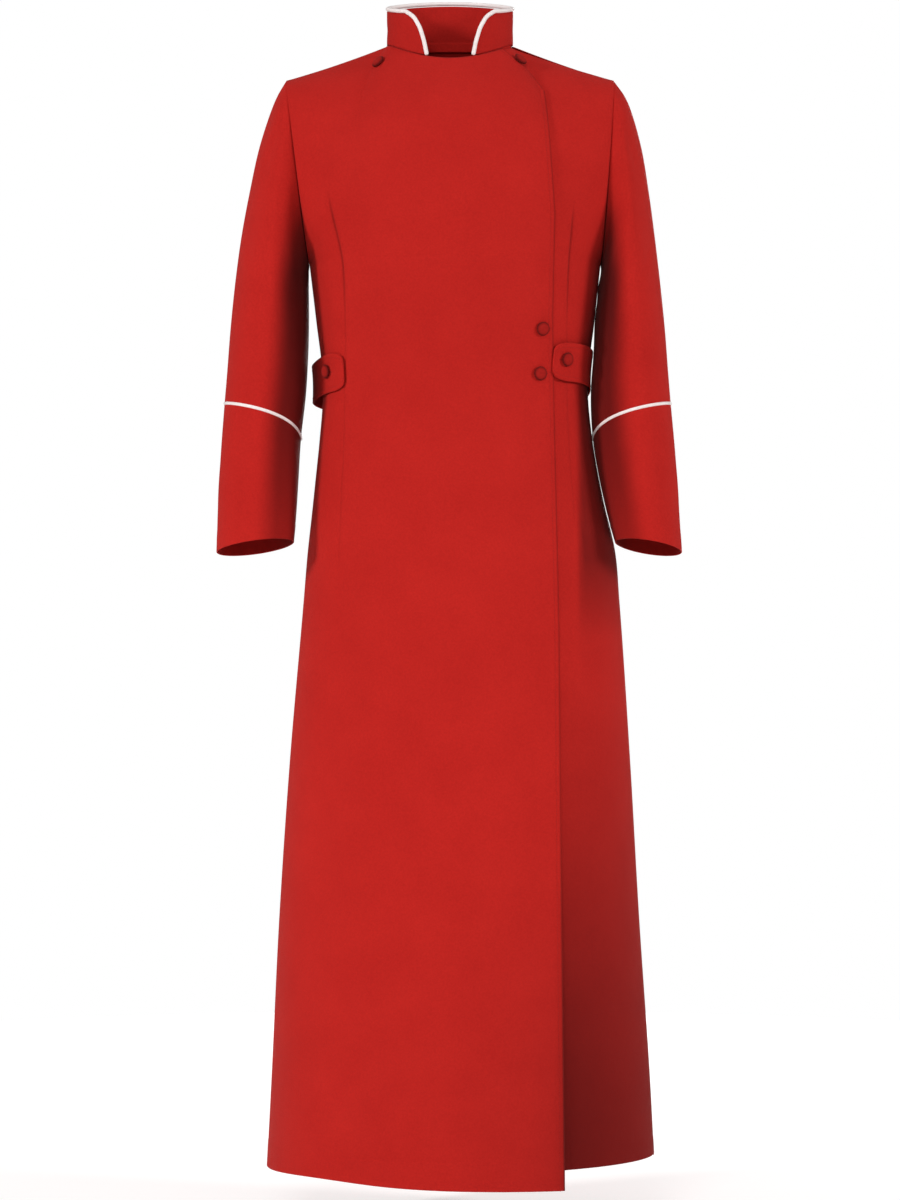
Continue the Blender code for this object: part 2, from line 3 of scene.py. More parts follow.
import bmesh
import bpy
import numpy as np
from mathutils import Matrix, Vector


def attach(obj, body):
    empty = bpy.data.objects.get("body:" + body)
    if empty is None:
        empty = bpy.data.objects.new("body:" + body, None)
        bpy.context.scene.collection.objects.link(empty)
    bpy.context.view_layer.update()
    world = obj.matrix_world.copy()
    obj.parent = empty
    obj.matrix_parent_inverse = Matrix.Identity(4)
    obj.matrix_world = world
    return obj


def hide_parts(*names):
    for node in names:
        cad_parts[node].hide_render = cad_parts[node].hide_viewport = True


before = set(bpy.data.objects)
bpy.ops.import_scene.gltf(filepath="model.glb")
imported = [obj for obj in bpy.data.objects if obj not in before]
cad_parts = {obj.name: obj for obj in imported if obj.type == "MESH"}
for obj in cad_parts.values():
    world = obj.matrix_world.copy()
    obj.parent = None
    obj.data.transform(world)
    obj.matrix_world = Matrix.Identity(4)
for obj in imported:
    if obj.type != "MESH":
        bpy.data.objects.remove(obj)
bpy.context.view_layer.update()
MM = 0.001


# The photograph's view
#
# The camera stands straight in front of the garment, level with its middle.
VIEW_DISTANCE = 4.5
VIEW_HEIGHT = -0.7202
VIEW_FRAME_HEIGHT = 1.56
SENSOR = 36.0


def add_object(name, data):
    """A new object of the scene, at its origin."""
    piece = bpy.data.objects.new(name, data)
    bpy.context.scene.collection.objects.link(piece)
    return piece


camera_data = bpy.data.cameras.new("photo_camera")
camera_data.sensor_width = SENSOR
camera_data.sensor_fit = "AUTO"
camera_data.lens = SENSOR * VIEW_DISTANCE / VIEW_FRAME_HEIGHT
camera = add_object("photo_camera", camera_data)
camera.location = (0, -VIEW_DISTANCE, VIEW_HEIGHT)
camera.rotation_euler = (math.radians(90), 0, 0)
bpy.context.scene.camera = camera


# The outer front
#
# The wearer's right front crosses the chest to the left side and falls to the hem in one
# panel of red woven cloth. It has a waist dart, a turned hem and a stitched free edge, and
# is sewn to the back along the shoulder and the right side.
FRONT, BACK = -1, 1
RIGHT, LEFT = -1, 1
CLOTH = 1.5
UNDERARM = -285.0
HIP = -720.0
HEM = -1452.0
HEM_COLUMNS = ("across", "z")
OVERLAP_HEM_ROWS = ((-1, -1453), (-0.5, -1447), (-0.2, -1451), (0.1, -1455), (0.6, -1459))
NECK_HALF_WIDTH = 82.0
NECK_DEPTH = {FRONT: 62.0, BACK: 50.0}
NECK_CENTRE_Z = {FRONT: -24.0, BACK: 5.0}
SHOULDER_TIP = (213.0, 10.0, -44.0)
SHOULDER_CROWN = -1.5
ARMHOLE_DEPTH = 68.0
NECK_SHARE = 0.45
BODY_COLUMNS = ("z", "half_width", "shift", "front_depth", "back_depth", "fullness")
BODY_ROWS = (
    (-1460, 252, 14, 206, 200, 2.10),
    (-1344, 246, 14, 196, 190, 2.12),
    (-1136, 234, 12, 178, 176, 2.15),
    (-928, 221, 13, 160, 163, 2.20),
    (-720, 205, 15, 141, 149, 2.25),
    (-660, 200, 15, 133, 143, 2.28),
    (-590, 188, 11, 124, 136, 2.30),
    (-512, 177, 8, 113, 122, 2.30),
    (-441, 172, 7, 109, 112, 2.30),
    (-356, 181, 7, 119, 115, 2.30),
    (-285, 189, 6.5, 127, 119, 2.30),
)
CHEST_COLUMNS = ("share", "y", "z")
CHEST_ROWS = {
    FRONT: ((0, -127, -285), (0.35, -126, -192), (0.7, -104, -98), (1, -62, -24)),
    BACK: ((0, 119, -285), (0.35, 123, -188), (0.7, 108, -82), (1, 50, 5)),
}
SIDE_BULGE = {FRONT: -34.0, BACK: 44.0}
EDGE_ROWS = (
    (-1452, 141.5),
    (-1012, 139.5),
    (-756, 138.0),
    (-496, 133.4),
    (-360, 131.0),
    (-229, 133.4),
    (-115, 126.0),
    (-66, 121.0),
    (-38, 101.7),
    (-6, 65.0),
)
FOLDS_START = -560.0
FOLD_GROWTH = 1.2
FOLD_DEPTH = {FRONT: 2.5, BACK: 9.0}
FOLD_COUNT = {FRONT: 1.5, BACK: 2.5}
FOLD_PHASE = {FRONT: 1.0, BACK: 0.4}
STAND_OFF_START = -980.0
EDGE_FLARE = 6.0
EDGE_FLARE_SPAN = (0.05, 0.5)
HALVINGS = 24

# Darts: stitched lines from the chest over the waist to the hip, in shallow hollows
DART_COLUMNS = ("z", "x")
RIGHT_DART_ROWS = ((-690, -142), (-480, -136), (-340, -135), (-290, -137.5), (-224, -151), (-60, -158))
DART_ENDS = (-690.0, -190.0)
DART_EASE = 0.75
DART_EASE_SPAN = (290.0, 380.0)
DART_DEPTH = 1.2
DART_WIDTH = 1.5
DART_HOLLOW = 0.8
DART_HOLLOW_WIDTH = 14.0
DART_FADE = 50.0
EDGE_STITCH_INSET = 6.0
FREE_EDGE_SHADE_WIDTH = 1.6
STITCH_LIFT = 0.1

# Painted shade low down on the outer front, here by how far a place is from the free edge
LOW_SHADE_SPAN = (950.0, 1400.0)
LOW_SHADE_ROWS = ((0, 0.42), (12, 0.26), (45, 0.17), (150, 0.07), (300, 0.04), (380, 0.10))

# Soft troughs (depth below 0) and ridges: where, how long, how wide, and how they lean
CREASE_COLUMNS = ("x", "z", "length", "width", "lean", "depth")
CREASE_BEND = 0.5
FRONT_CREASES = (
    (-172, -150, 150, 13, 14, -2.4),
    (-158, -215, 120, 11, 20, 1.4),
    (-150, -118, 100, 12, 38, -1.2),
    (-176, -268, 90, 9, 30, -1.8),
    (-120, -410, 170, 22, -6, -1.5),
    (-146, -520, 200, 15, 4, -1.7),
    (-166, -560, 230, 13, 3, 1.9),
    (-118, -590, 260, 24, 5, 1.2),
    (-146, -446, 34, 3.2, 66, -1.9),
    (-141, -456, 30, 3.0, 64, 1.4),
    (-138, -462, 30, 2.8, 62, -1.6),
    (96, -402, 60, 9, -62, -1.3),
    (88, -340, 70, 12, -50, 0.9),
    (60, -455, 110, 22, -28, -1.1),
    (104, -520, 170, 14, 5, -1.3),
    (-20, -520, 320, 46, 3, 1.0),
    (30, -700, 420, 40, -3, -1.4),
    (-60, -860, 520, 36, 4, -1.9),
    (-112, -980, 560, 30, 5, 1.8),
    (76, -960, 600, 34, -4, 1.6),
    (6, -1120, 560, 30, 1, 1.7),
    (-165, -1130, 500, 28, 6, -2.0),
    (112, -1180, 460, 22, -3, -1.7),
    (-30, -180, 190, 40, 8, -1.1),
    (58, -132, 150, 30, -24, -1.0),
    (-92, -86, 110, 16, 52, -1.2),
    (88, -74, 74, 13, -44, -1.1),
)
HEM_TURN = 32.0
HEM_RELIEF = 0.35
BODY_ROW_COUNTS = (5, 180, 48)
OVERLAP_COUNTS = (18, 58)
EDGE_GRADES = (0.8, 1.8, 3.4)
SHARE_LENGTH = 290.0
SEAM_FADE = (0.9, 0.99)
TOP_FADE = (-16.0, -2.0)
SEAM_DIP = 1.0
SEAM_DIP_WIDTH = 1.6
SIDE_SEAM_DIP = 0.1
LINE_PAINTED_SHADE = 0.4
EDGE_ROUND = 0.42
OUTWARD_LEAN = 0.8

CLOTH_RED = (0.51, 0.0150, 0.0105, 1.0)
CLOTH_DEEP_RED = (0.40, 0.0085, 0.006, 1.0)
# The dark red that painted shade darkens the cloth towards
PAINTED_SHADE_RED = (0.045, 0.0012, 0.001, 1.0)
# The inner faces are a darker copy of the cloth: painted shade
INSIDE_SHADE_RED = (0.30, 0.010, 0.008, 1.0)
CLOTH_SHEEN = 0.045
INSIDE_SHEEN = 0.05
SHEEN_TINT = (1.0, 0.45, 0.4, 1.0)
YARN_PITCH = 0.00052
TWILL_PITCH = 0.00118
FLECK_SCALE = 420
PATCH_SCALE = 16
SLUB_SCALE = 95

CLOTH_ROUGHNESS = 0.76
FLECK_ROUGHNESS = 0.16

# What the flecks, patches and yarns give to the blend of the two reds
FLECK_BLEND, PATCH_BLEND, WEAVE_BLEND, BLEND_DROP = 1.5, 0.7, 0.12, 0.6

# Strength and distance of the small relief of the yarns and of uneven spinning
YARN_RELIEF = (0.55, 0.00018)
SLUB_RELIEF = (0.35, 0.0012)
FLECK_RELIEF = 1.2


def curve_through(rows, columns, x_name, y_name):
    """A smooth curve through two columns of a table, as a function."""
    xs = np.array([row[columns.index(x_name)] for row in rows], float)
    ys = np.array([row[columns.index(y_name)] for row in rows], float)
    slopes = np.gradient(ys, xs)

    def at(x):
        x = min(max(x, xs[0]), xs[-1])
        i = min(int(np.searchsorted(xs, x, side="right")) - 1, len(xs) - 2)
        step = xs[i + 1] - xs[i]
        t = (x - xs[i]) / step
        start = ys[i] * (1 + 2 * t) * (1 - t) ** 2 + slopes[i] * step * t * (1 - t) ** 2
        end = ys[i + 1] * t * t * (3 - 2 * t) + slopes[i + 1] * step * t * t * (t - 1)
        return float(start + end)

    return at


def unit(vectors):
    """The same directions with length 1, for one vector or a grid of them."""
    return vectors / np.maximum(np.linalg.norm(vectors, axis=-1, keepdims=True), 1e-9)


def smooth_step(x, low, high):
    """0 up to low, 1 from high on, and a soft rise between them."""
    t = np.clip((x - low) / (high - low), 0.0, 1.0)
    return t * t * (3 - 2 * t)


BODY = {name: curve_through(BODY_ROWS, BODY_COLUMNS, "z", name) for name in BODY_COLUMNS[1:]}
CHEST = {
    side: {name: curve_through(rows, CHEST_COLUMNS, "share", name) for name in ("y", "z")}
    for side, rows in CHEST_ROWS.items()
}


def edge_x(z):
    """How far across the outer front's free edge lies at a height."""
    return float(np.interp(z, *zip(*EDGE_ROWS)))


def skirt_fold(u, z, side):
    """How far a large soft fold stands out of the skirt."""
    growth = min(max((FOLDS_START - z) / (FOLDS_START - HEM), 0.0), 1.0) ** FOLD_GROWTH
    wave = math.cos(2 * math.pi * FOLD_COUNT[side] * u + FOLD_PHASE[side])
    return FOLD_DEPTH[side] * growth * wave * (1 - u * u)


def ring(u, z, side):
    """A point of the body below the underarm. u runs from -1 at the right side seam to 1."""
    turn = abs(u) * math.pi / 2
    power = 2 / BODY["fullness"](z)
    depth = BODY["front_depth" if side == FRONT else "back_depth"](z)
    across = math.copysign(BODY["half_width"](z) * math.sin(turn) ** power, u)
    along = side * depth * max(math.cos(turn), 0.0) ** power
    grow = 1 + skirt_fold(u, z, side) / max(math.hypot(across, along), 1.0)
    return np.array((BODY["shift"](z) + across * grow, along * grow, z))


def armhole(angle, hand):
    """A point of the armhole: angle 0 at the shoulder tip, 90 in front, 180 at the underarm."""
    top = np.array((hand * SHOULDER_TIP[0], SHOULDER_TIP[1], SHOULDER_TIP[2]))
    bottom = ring(hand, UNDERARM, FRONT)
    turn = math.radians(angle)
    forward = np.array((0.0, -ARMHOLE_DEPTH, 0.0))
    return (top + bottom) / 2 + (top - bottom) / 2 * math.cos(turn) + forward * math.sin(turn)


def neckline(angle, side):
    """A point of the neck edge: angle 0 in the middle, 90 where the shoulder seam starts."""
    turn = math.radians(angle)
    return np.array(
        (
            NECK_HALF_WIDTH * math.sin(turn),
            side * NECK_DEPTH[side] * math.cos(turn),
            NECK_CENTRE_Z[side] * math.cos(turn) ** 2,
        )
    )


def top_edge(u, side):
    """The neck edge, and from there the shoulder seam."""
    hand = 1 if u >= 0 else -1
    if abs(u) < NECK_SHARE:
        point = neckline(90 * abs(u) / NECK_SHARE, side)
        return point * (hand, 1, 1)
    share = (abs(u) - NECK_SHARE) / (1 - NECK_SHARE)
    start = np.array((NECK_HALF_WIDTH, 0.0, 0.0))
    point = start + (np.array(SHOULDER_TIP) - start) * share
    point[2] += SHOULDER_CROWN * 4 * share * (1 - share)
    return point * (hand, 1, 1)


def yoke(u, share, side):
    """A point of the body between the underarm (share 0) and the top edge (share 1)."""
    hand = 1 if u >= 0 else -1
    turn = abs(u) * math.pi / 2
    power = 2 / BODY["fullness"](UNDERARM)

    def plain(share_here):
        centre_y = CHEST[side]["y"](share_here)
        centre_z = CHEST[side]["z"](share_here)
        start = ring(hand, UNDERARM, side)
        end = np.array(SHOULDER_TIP) * (hand, 1, 1)
        side_point = start + (end - start) * share_here
        side_point[1] += SIDE_BULGE[side] * math.sin(math.pi * share_here)
        shift = BODY["shift"](UNDERARM) * (1 - share_here)
        across = math.sin(turn) ** power
        along = max(math.cos(turn), 0.0) ** power
        point = np.array(
            (
                shift + (side_point[0] - shift) * across,
                side_point[1] + (centre_y - side_point[1]) * along,
                centre_z + (side_point[2] - centre_z) * u * u,
            )
        )
        return point, side_point

    point, side_point = plain(share)
    angle = 180 * (1 - share)
    seam = armhole(angle if side == FRONT else -angle, hand)
    pull = abs(u) ** (5 - 3 * share)
    top_plain, _ = plain(1.0)
    return point + pull * (seam - side_point) + share**3 * (top_edge(u, side) - top_plain)


def body(u, level, side):
    """A point of the body. level is a height, up to 0 at the top edge."""
    if level <= UNDERARM:
        return ring(u, level, side)
    return yoke(u, 1 - level / UNDERARM, side)


def share_where(x_at, level, side):
    """Where on a level the body's x passes the one that a line of heights gives."""
    low, high = -1.0, 1.0
    for _ in range(HALVINGS):
        middle = (low + high) / 2
        x, _, z = body(middle, level, side)
        if x < x_at(z):
            low = middle
        else:
            high = middle
    return low


def spread(stops, counts, grades):
    """Values from the first stop to the last: a count between stops, and finer ones beside each."""
    found = []
    for start, stop, count in zip(stops[:-1], stops[1:], counts):
        found += [start, *(start + grade for grade in grades[:-1])]
        found += list(np.linspace(start + grades[-1], stop - grades[-1], count))
        found += [stop - grade for grade in grades[:-1][::-1]]
    return [*found, stops[-1]]


def surface_normals(points, outward, closed=False):
    """The directions square to a grid of points, turned towards a grid of rough directions."""
    if closed:
        across = np.roll(points, -1, axis=1) - np.roll(points, 1, axis=1)
    else:
        across = np.gradient(points, axis=1)
    normals = unit(np.cross(across, np.gradient(points, axis=0)))
    turn = np.sign(np.sum(normals * outward, axis=-1, keepdims=True))
    return normals * np.where(turn == 0, 1, turn)


def crease_relief(across, up, rows):
    """How far soft troughs and ridges move a cloth, from its flat places in millimetres."""
    relief = np.zeros_like(across)
    for row in rows:
        crease = dict(zip(CREASE_COLUMNS, row))
        lean = math.radians(crease["lean"])
        right, high = across - crease["x"], up - crease["z"]
        along = (right * math.sin(lean) + high * math.cos(lean)) / (crease["length"] / 2)
        aside = (right * math.cos(lean) - high * math.sin(lean)) / crease["width"]
        aside = aside + CREASE_BEND * along * along
        fade = np.clip(1 - along * along, 0, 1) ** 2
        relief += crease["depth"] * fade * np.exp(-aside * aside)
    return relief


def line_dip(distance, depth=SEAM_DIP, width=SEAM_DIP_WIDTH):
    """A narrow groove, such as a seam pulls into cloth."""
    return -depth * np.exp(-((distance / width) ** 2))


def panel_length(points, axis):
    """How far along a grid each point lies, in millimetres from the grid's first line."""
    steps = np.linalg.norm(np.diff(points, axis=axis), axis=-1)
    start = np.zeros_like(np.take(steps, [0], axis=axis))
    return np.concatenate([start, np.cumsum(steps, axis=axis)], axis=axis)


def finished_mesh(name, points, faces, places, materials, sides=None, painted_shades=None):
    """A smooth mesh from points in millimetres, with a place on the UV map for each corner."""
    mesh = bpy.data.meshes.new(name)
    mesh.from_pydata([Vector(point * MM) for point in points], [], faces)
    mesh.uv_layers.new(name="UVMap").data.foreach_set("uv", np.array(places, float).ravel())
    # Each point keeps its amount of painted shade, which the cloth material reads
    if sides:
        mesh.polygons.foreach_set("material_index", sides)
        mesh.attributes.new("painted_shade_amount", "FLOAT", "POINT").data.foreach_set("value", painted_shades)
    for material in materials:
        mesh.materials.append(material)
    build = bmesh.new()
    build.from_mesh(mesh)
    bmesh.ops.recalc_face_normals(build, faces=build.faces)
    build.to_mesh(mesh)
    build.free()
    mesh.shade_smooth()
    return add_object(name, mesh)


def cloth_shell(name, outer, inner, closed, materials, painted_shade):
    """A thin cloth between two grids of points, with rounded edges and a UV map in metres."""
    rows, columns = outer.shape[:2]
    top, right = rows - 1, columns - 1

    # The free edges, as pairs of a point and of the one that lies inwards of it
    if closed:
        loops = [[((0, c), (1, c)) for c in range(columns)]]
        loops.append([((top, c), (top - 1, c)) for c in range(columns)][::-1])
    else:
        inwards = [min(max(c, 1), right - 1) for c in range(columns)]
        loop = [((0, c), (1, inwards[c])) for c in range(columns)]
        loop += [((r, right), (r, right - 1)) for r in range(1, top)]
        loop += [((top, c), (top - 1, inwards[c])) for c in range(columns)][::-1]
        loop += [((r, 0), (r, 1)) for r in range(1, top)][::-1]
        loops = [loop]

    points = [*outer.reshape(-1, 3), *inner.reshape(-1, 3)]
    # Each point's painted shade, the same on both skins and on the rounded edges
    painted_shades = [*painted_shade.ravel(), *painted_shade.ravel()]
    faces, sides, places = [], [], []
    across = panel_length(outer, 1) * MM
    up = panel_length(outer, 0) * MM
    mid_up = up.mean(axis=1)
    wrap = (across[:, -1] + np.linalg.norm(outer[:, 0] - outer[:, -1], axis=-1) * MM).mean()

    def spot(r, c):
        return (wrap if c == columns else across[r, c], mid_up[r])

    def corner(skin, r, c):
        return skin * rows * columns + r * columns + c % columns

    for r in range(top):
        for c in range(columns if closed else right):
            around = [(r, c), (r, c + 1), (r + 1, c + 1), (r + 1, c)]
            for skin, order in ((0, around), (1, around[::-1])):
                faces.append([corner(skin, *rc) for rc in order])
                places += [spot(*rc) for rc in order]
                sides.append(skin)
    for loop in loops:
        first = len(points)
        for here, inwards in loop:
            middle = (outer[here] + inner[here]) / 2
            thickness = np.linalg.norm(outer[here] - inner[here])
            points.append(middle + EDGE_ROUND * thickness * unit(outer[here] - outer[inwards]))
            painted_shades.append(painted_shade[here])
        for i, (here, _) in enumerate(loop):
            j = (i + 1) % len(loop)
            there = loop[j][0]
            for skin, way in ((0, 1), (1, -1)):
                quad = [corner(skin, *there), corner(skin, *here), first + i, first + j]
                faces.append(quad[::way])
                places += [spot(*there), spot(*here), spot(*here), spot(*there)][::way]
                sides.append(0)
    return finished_mesh(name, points, faces, places, materials, sides, painted_shades)


def sewn_piece(node, face, inside, painted_shade, closed=False, inside_material=None):
    """The cloth that stands for a CAD node, between its face and its inside."""
    materials = (FACE_CLOTH, inside_material or SHADED_INSIDE_CLOTH)
    piece = cloth_shell(node + "_cloth", face, inside, closed, materials, painted_shade)
    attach(piece, "root")
    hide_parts(node)
    return piece


def add_node(tree, kind, inputs, **settings):
    """A node with its settings. Each input is a value, or the socket that feeds it."""
    node = tree.nodes.new(kind)
    for setting, value in settings.items():
        setattr(node, setting, value)
    for name, value in inputs.items():
        if isinstance(value, bpy.types.NodeSocket):
            tree.links.new(value, node.inputs[name])
        else:
            node.inputs[name].default_value = value
    return node


def maths(tree, operation, *values):
    return add_node(tree, "ShaderNodeMath", dict(enumerate(values)), operation=operation).outputs[0]


def waves(tree, place, pitch):
    """Even waves along a coordinate, such as yarns lie in."""
    return maths(tree, "SINE", maths(tree, "MULTIPLY", place, 2 * math.pi / pitch))


def noise(tree, inputs):
    place = add_node(tree, "ShaderNodeTexCoord", {}).outputs["Object"]
    return add_node(tree, "ShaderNodeTexNoise", {"Vector": place, **inputs}).outputs["Fac"]


def cloth_directions(tree):
    """Across and up on the flat cloth, in metres."""
    place = add_node(tree, "ShaderNodeUVMap", {}, uv_map="UVMap").outputs["UV"]
    split = add_node(tree, "ShaderNodeSeparateXYZ", {"Vector": place})
    return split.outputs["X"], split.outputs["Y"]


def colour_mix(tree, factor, first, second):
    inputs = {"Factor": factor, "A": first, "B": second}
    return add_node(tree, "ShaderNodeMix", inputs, data_type="RGBA", clamp_factor=True).outputs["Result"]


def relief_node(tree, height, strength_and_distance, more=None):
    """Small relief for a shader, which another relief may be added to."""
    inputs = dict(zip(("Height", "Strength", "Distance"), (height, *strength_and_distance)))
    if more is not None:
        inputs["Normal"] = more
    return add_node(tree, "ShaderNodeBump", inputs).outputs["Normal"]


def new_material(name, finish):
    """A material with plain values on its shader, and its node tree."""
    material = bpy.data.materials.new(name)
    material.use_nodes = True
    for socket, value in finish.items():
        material.node_tree.nodes["Principled BSDF"].inputs[socket].default_value = value
    return material, material.node_tree


def feed_shader(tree, inputs):
    for socket, value in inputs.items():
        tree.links.new(value, tree.nodes["Principled BSDF"].inputs[socket])


def woven_cloth(name, light, dark, sheen):
    """A fine twill: crossing yarns in relief, small flecks of colour, a soft sheen, and painted shade that a
    point attribute asks for.
    """
    finish = {
        "Sheen Weight": sheen,
        "Sheen Roughness": 0.45,
        "Sheen Tint": SHEEN_TINT,
        "Specular IOR Level": 0.12,
    }
    material, tree = new_material(name, finish)

    def add(first, second):
        return maths(tree, "ADD", first, second)

    def times(first, second):
        return maths(tree, "MULTIPLY", first, second)

    across, up = cloth_directions(tree)
    crossing = add(waves(tree, across, YARN_PITCH), waves(tree, up, YARN_PITCH))
    rib = waves(tree, add(across, up), TWILL_PITCH)
    weave = add(times(rib, 0.5), times(crossing, 0.25))

    fleck = noise(tree, {"Scale": FLECK_SCALE, "Detail": 4})
    patch = noise(tree, {"Scale": PATCH_SCALE, "Detail": 3})
    blend = add(times(fleck, FLECK_BLEND), times(patch, PATCH_BLEND))
    blend = add(maths(tree, "SUBTRACT", blend, BLEND_DROP), times(weave, WEAVE_BLEND))
    colour = colour_mix(tree, blend, dark, light)
    # Painted shade: the amount stored at each point darkens the colour towards a dark red
    painted_shade = add_node(tree, "ShaderNodeAttribute", {}, attribute_name="painted_shade_amount").outputs["Fac"]

    yarns = relief_node(tree, add(weave, times(fleck, FLECK_RELIEF)), YARN_RELIEF)
    slub = noise(tree, {"Scale": SLUB_SCALE, "Detail": 3})
    feed_shader(tree, {
        "Base Color": colour_mix(tree, painted_shade, colour, PAINTED_SHADE_RED),
        "Roughness": add(times(fleck, FLECK_ROUGHNESS), CLOTH_ROUGHNESS),
        "Normal": relief_node(tree, slub, SLUB_RELIEF, yarns),
    })
    return material


STITCH_LENGTH = 0.0024
STITCH_GAP = 0.0011
STITCH_SIDES = 6
STITCH_RINGS = 5
THREAD_RADIUS = 0.00024
THREAD_RED = (0.33, 0.008, 0.006, 1.0)
THREAD_SHADE = 0.75
THREAD_FLECK_SCALE = 2600


def stitch_tree():
    """Geometry Nodes that set sunken stitches along a line."""
    tree = bpy.data.node_groups.new("stitches", "GeometryNodeTree")
    tree.is_modifier = True
    face = tree.interface
    face.new_socket("Line", in_out="INPUT", socket_type="NodeSocketGeometry")
    for label in ("Stitch Length", "Gap", "Thread Radius"):
        face.new_socket(label, in_out="INPUT", socket_type="NodeSocketFloat")
    face.new_socket("Thread", in_out="INPUT", socket_type="NodeSocketMaterial")
    face.new_socket("Stitches", in_out="OUTPUT", socket_type="NodeSocketGeometry")

    def add(kind, inputs, **settings):
        return add_node(tree, "GeometryNode" + kind, inputs, **settings).outputs

    given = tree.nodes.new("NodeGroupInput").outputs
    length, radius = given["Stitch Length"], given["Thread Radius"]
    pitch = maths(tree, "ADD", length, given["Gap"])
    spots = add("CurveToPoints", {"Curve": given["Line"], "Length": pitch}, mode="LENGTH")
    bead = add("MeshUVSphere", {"Segments": STITCH_SIDES, "Rings": STITCH_RINGS, "Radius": 1.0})
    half = maths(tree, "MULTIPLY", length, 0.5)
    size = add_node(tree, "ShaderNodeCombineXYZ", {"X": radius, "Y": radius, "Z": half}).outputs[0]
    stitch = add("Transform", {"Geometry": bead["Mesh"], "Scale": size})["Geometry"]
    row = {"Points": spots["Points"], "Rotation": spots["Rotation"], "Instance": stitch}
    stitches = add("InstanceOnPoints", row)["Instances"]
    stitches = add("RealizeInstances", {"Geometry": stitches})["Geometry"]
    stitches = add("SetShadeSmooth", {"Geometry": stitches})["Geometry"]
    stitches = add("SetMaterial", {"Geometry": stitches, "Material": given["Thread"]})["Geometry"]
    add_node(tree, "NodeGroupOutput", {"Stitches": stitches})
    return tree


STITCHES = stitch_tree()


def sew(name, lines, length=STITCH_LENGTH, gap=STITCH_GAP):
    """A row of stitches along each line of points, as one plain mesh."""
    curve = bpy.data.curves.new(name, "CURVE")
    curve.dimensions = "3D"
    for line in lines:
        spline = curve.splines.new("POLY")
        spline.points.add(len(line) - 1)
        for spot, point in zip(spline.points, line):
            spot.co = (*(np.array(point) * MM), 1)
    guide = add_object(name + "_line", curve)
    nodes = guide.modifiers.new("stitches", "NODES")
    nodes.node_group = STITCHES
    values = {"Stitch Length": length, "Gap": gap, "Thread Radius": THREAD_RADIUS, "Thread": RED_THREAD}
    for item in STITCHES.interface.items_tree:
        if item.in_out == "INPUT" and item.name in values:
            nodes[item.identifier] = values[item.name]
    bpy.context.view_layer.update()
    shaped = guide.evaluated_get(bpy.context.evaluated_depsgraph_get())
    mesh = bpy.data.meshes.new_from_object(shaped)
    mesh.name = name
    bpy.data.objects.remove(guide)
    piece = add_object(name, mesh)
    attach(piece, "root")


def thread_material(name, colour):
    """Twisted thread: a little darker in places, with hardly any shine."""
    finish = {"Roughness": 0.7, "Specular IOR Level": 0.2, "Sheen Weight": 0.03}
    material, tree = new_material(name, finish)
    darker = (*(THREAD_SHADE * part for part in colour[:3]), 1.0)
    fleck = noise(tree, {"Scale": THREAD_FLECK_SCALE})
    feed_shader(tree, {"Base Color": colour_mix(tree, fleck, darker, colour)})
    return material


FACE_CLOTH = woven_cloth("red_twill", CLOTH_RED, CLOTH_DEEP_RED, CLOTH_SHEEN)
# The inner faces take a darker copy of the same twill, as painted shade
SHADED_INSIDE_CLOTH = woven_cloth("red_twill_inside_painted_shade", CLOTH_DEEP_RED, INSIDE_SHADE_RED, INSIDE_SHEEN)
RED_THREAD = thread_material("red_thread", THREAD_RED)


def body_grid(side, hem_rows, columns_at):
    """A panel's points, their directions, and the share and height of each."""
    hem_at = curve_through(hem_rows, HEM_COLUMNS, "across", "z")
    points, shares, heights = [], [], []
    for row_level in spread((HEM, HEM + HEM_TURN, UNDERARM, 0.0), BODY_ROW_COUNTS, EDGE_GRADES):
        fall = max((HIP - row_level) / (HIP - HEM), 0.0)
        columns = columns_at(row_level)
        levels = [row_level + (hem_at(u) - HEM) * fall for u in columns]
        points.append([body(u, level, side) for u, level in zip(columns, levels)])
        shares.append(columns)
        heights.append(levels)
    points, shares, heights = np.array(points), np.array(shares), np.array(heights)
    rise = smooth_step(heights, UNDERARM, 0)
    outward = np.stack([OUTWARD_LEAN * shares, np.full_like(shares, side), OUTWARD_LEAN * rise], axis=-1)
    return points, surface_normals(points, outward), shares, heights


def seam_relief(points, heights, sewn):
    """Grooves along a panel's sewn edges, and the faint step of a turned hem."""
    relief = HEM_RELIEF * (1 - smooth_step(heights, HEM + HEM_TURN - 1, HEM + HEM_TURN + 1))
    across = panel_length(points, 1)
    up = panel_length(points, 0)
    distances = {"first": across, "last": across[:, -1:] - across, "top": up[-1:] - up}
    for edge in sewn:
        relief = relief + line_dip(distances[edge], SEAM_DIP if edge == "top" else SIDE_SEAM_DIP)
    return relief


def soft_relief(points, shares, heights, creases):
    """The soft creases of a panel, which fade out at its seams."""
    fade = 1 - smooth_step(np.abs(shares), *SEAM_FADE)
    fade = fade * (1 - smooth_step(heights, *TOP_FADE))
    return fade * crease_relief(points[..., 0], points[..., 2], creases)


def dart_relief(points, column, ends, hollow=DART_HOLLOW):
    """The stitched line of a dart in its shallow hollow, which fade out at both ends.

    Below the waist the cloth hangs flat over it, and only a faint line is left.
    """
    across = panel_length(points, 1)
    distance = across - across[:, column : column + 1]
    low, high = ends
    z = points[..., 2]
    live = smooth_step(z, low, low + DART_FADE) * (1 - smooth_step(z, high - DART_FADE, high))
    live = live * (1 - DART_EASE * smooth_step(-z, *DART_EASE_SPAN))
    line = line_dip(distance, DART_DEPTH, DART_WIDTH)
    return live * (line + line_dip(distance, hollow, DART_HOLLOW_WIDTH))


def painted_line_shade(relief):
    """Painted shade along sewn lines, where the cloth is pulled in."""
    return LINE_PAINTED_SHADE * np.clip(-relief / SEAM_DIP, 0, 1)


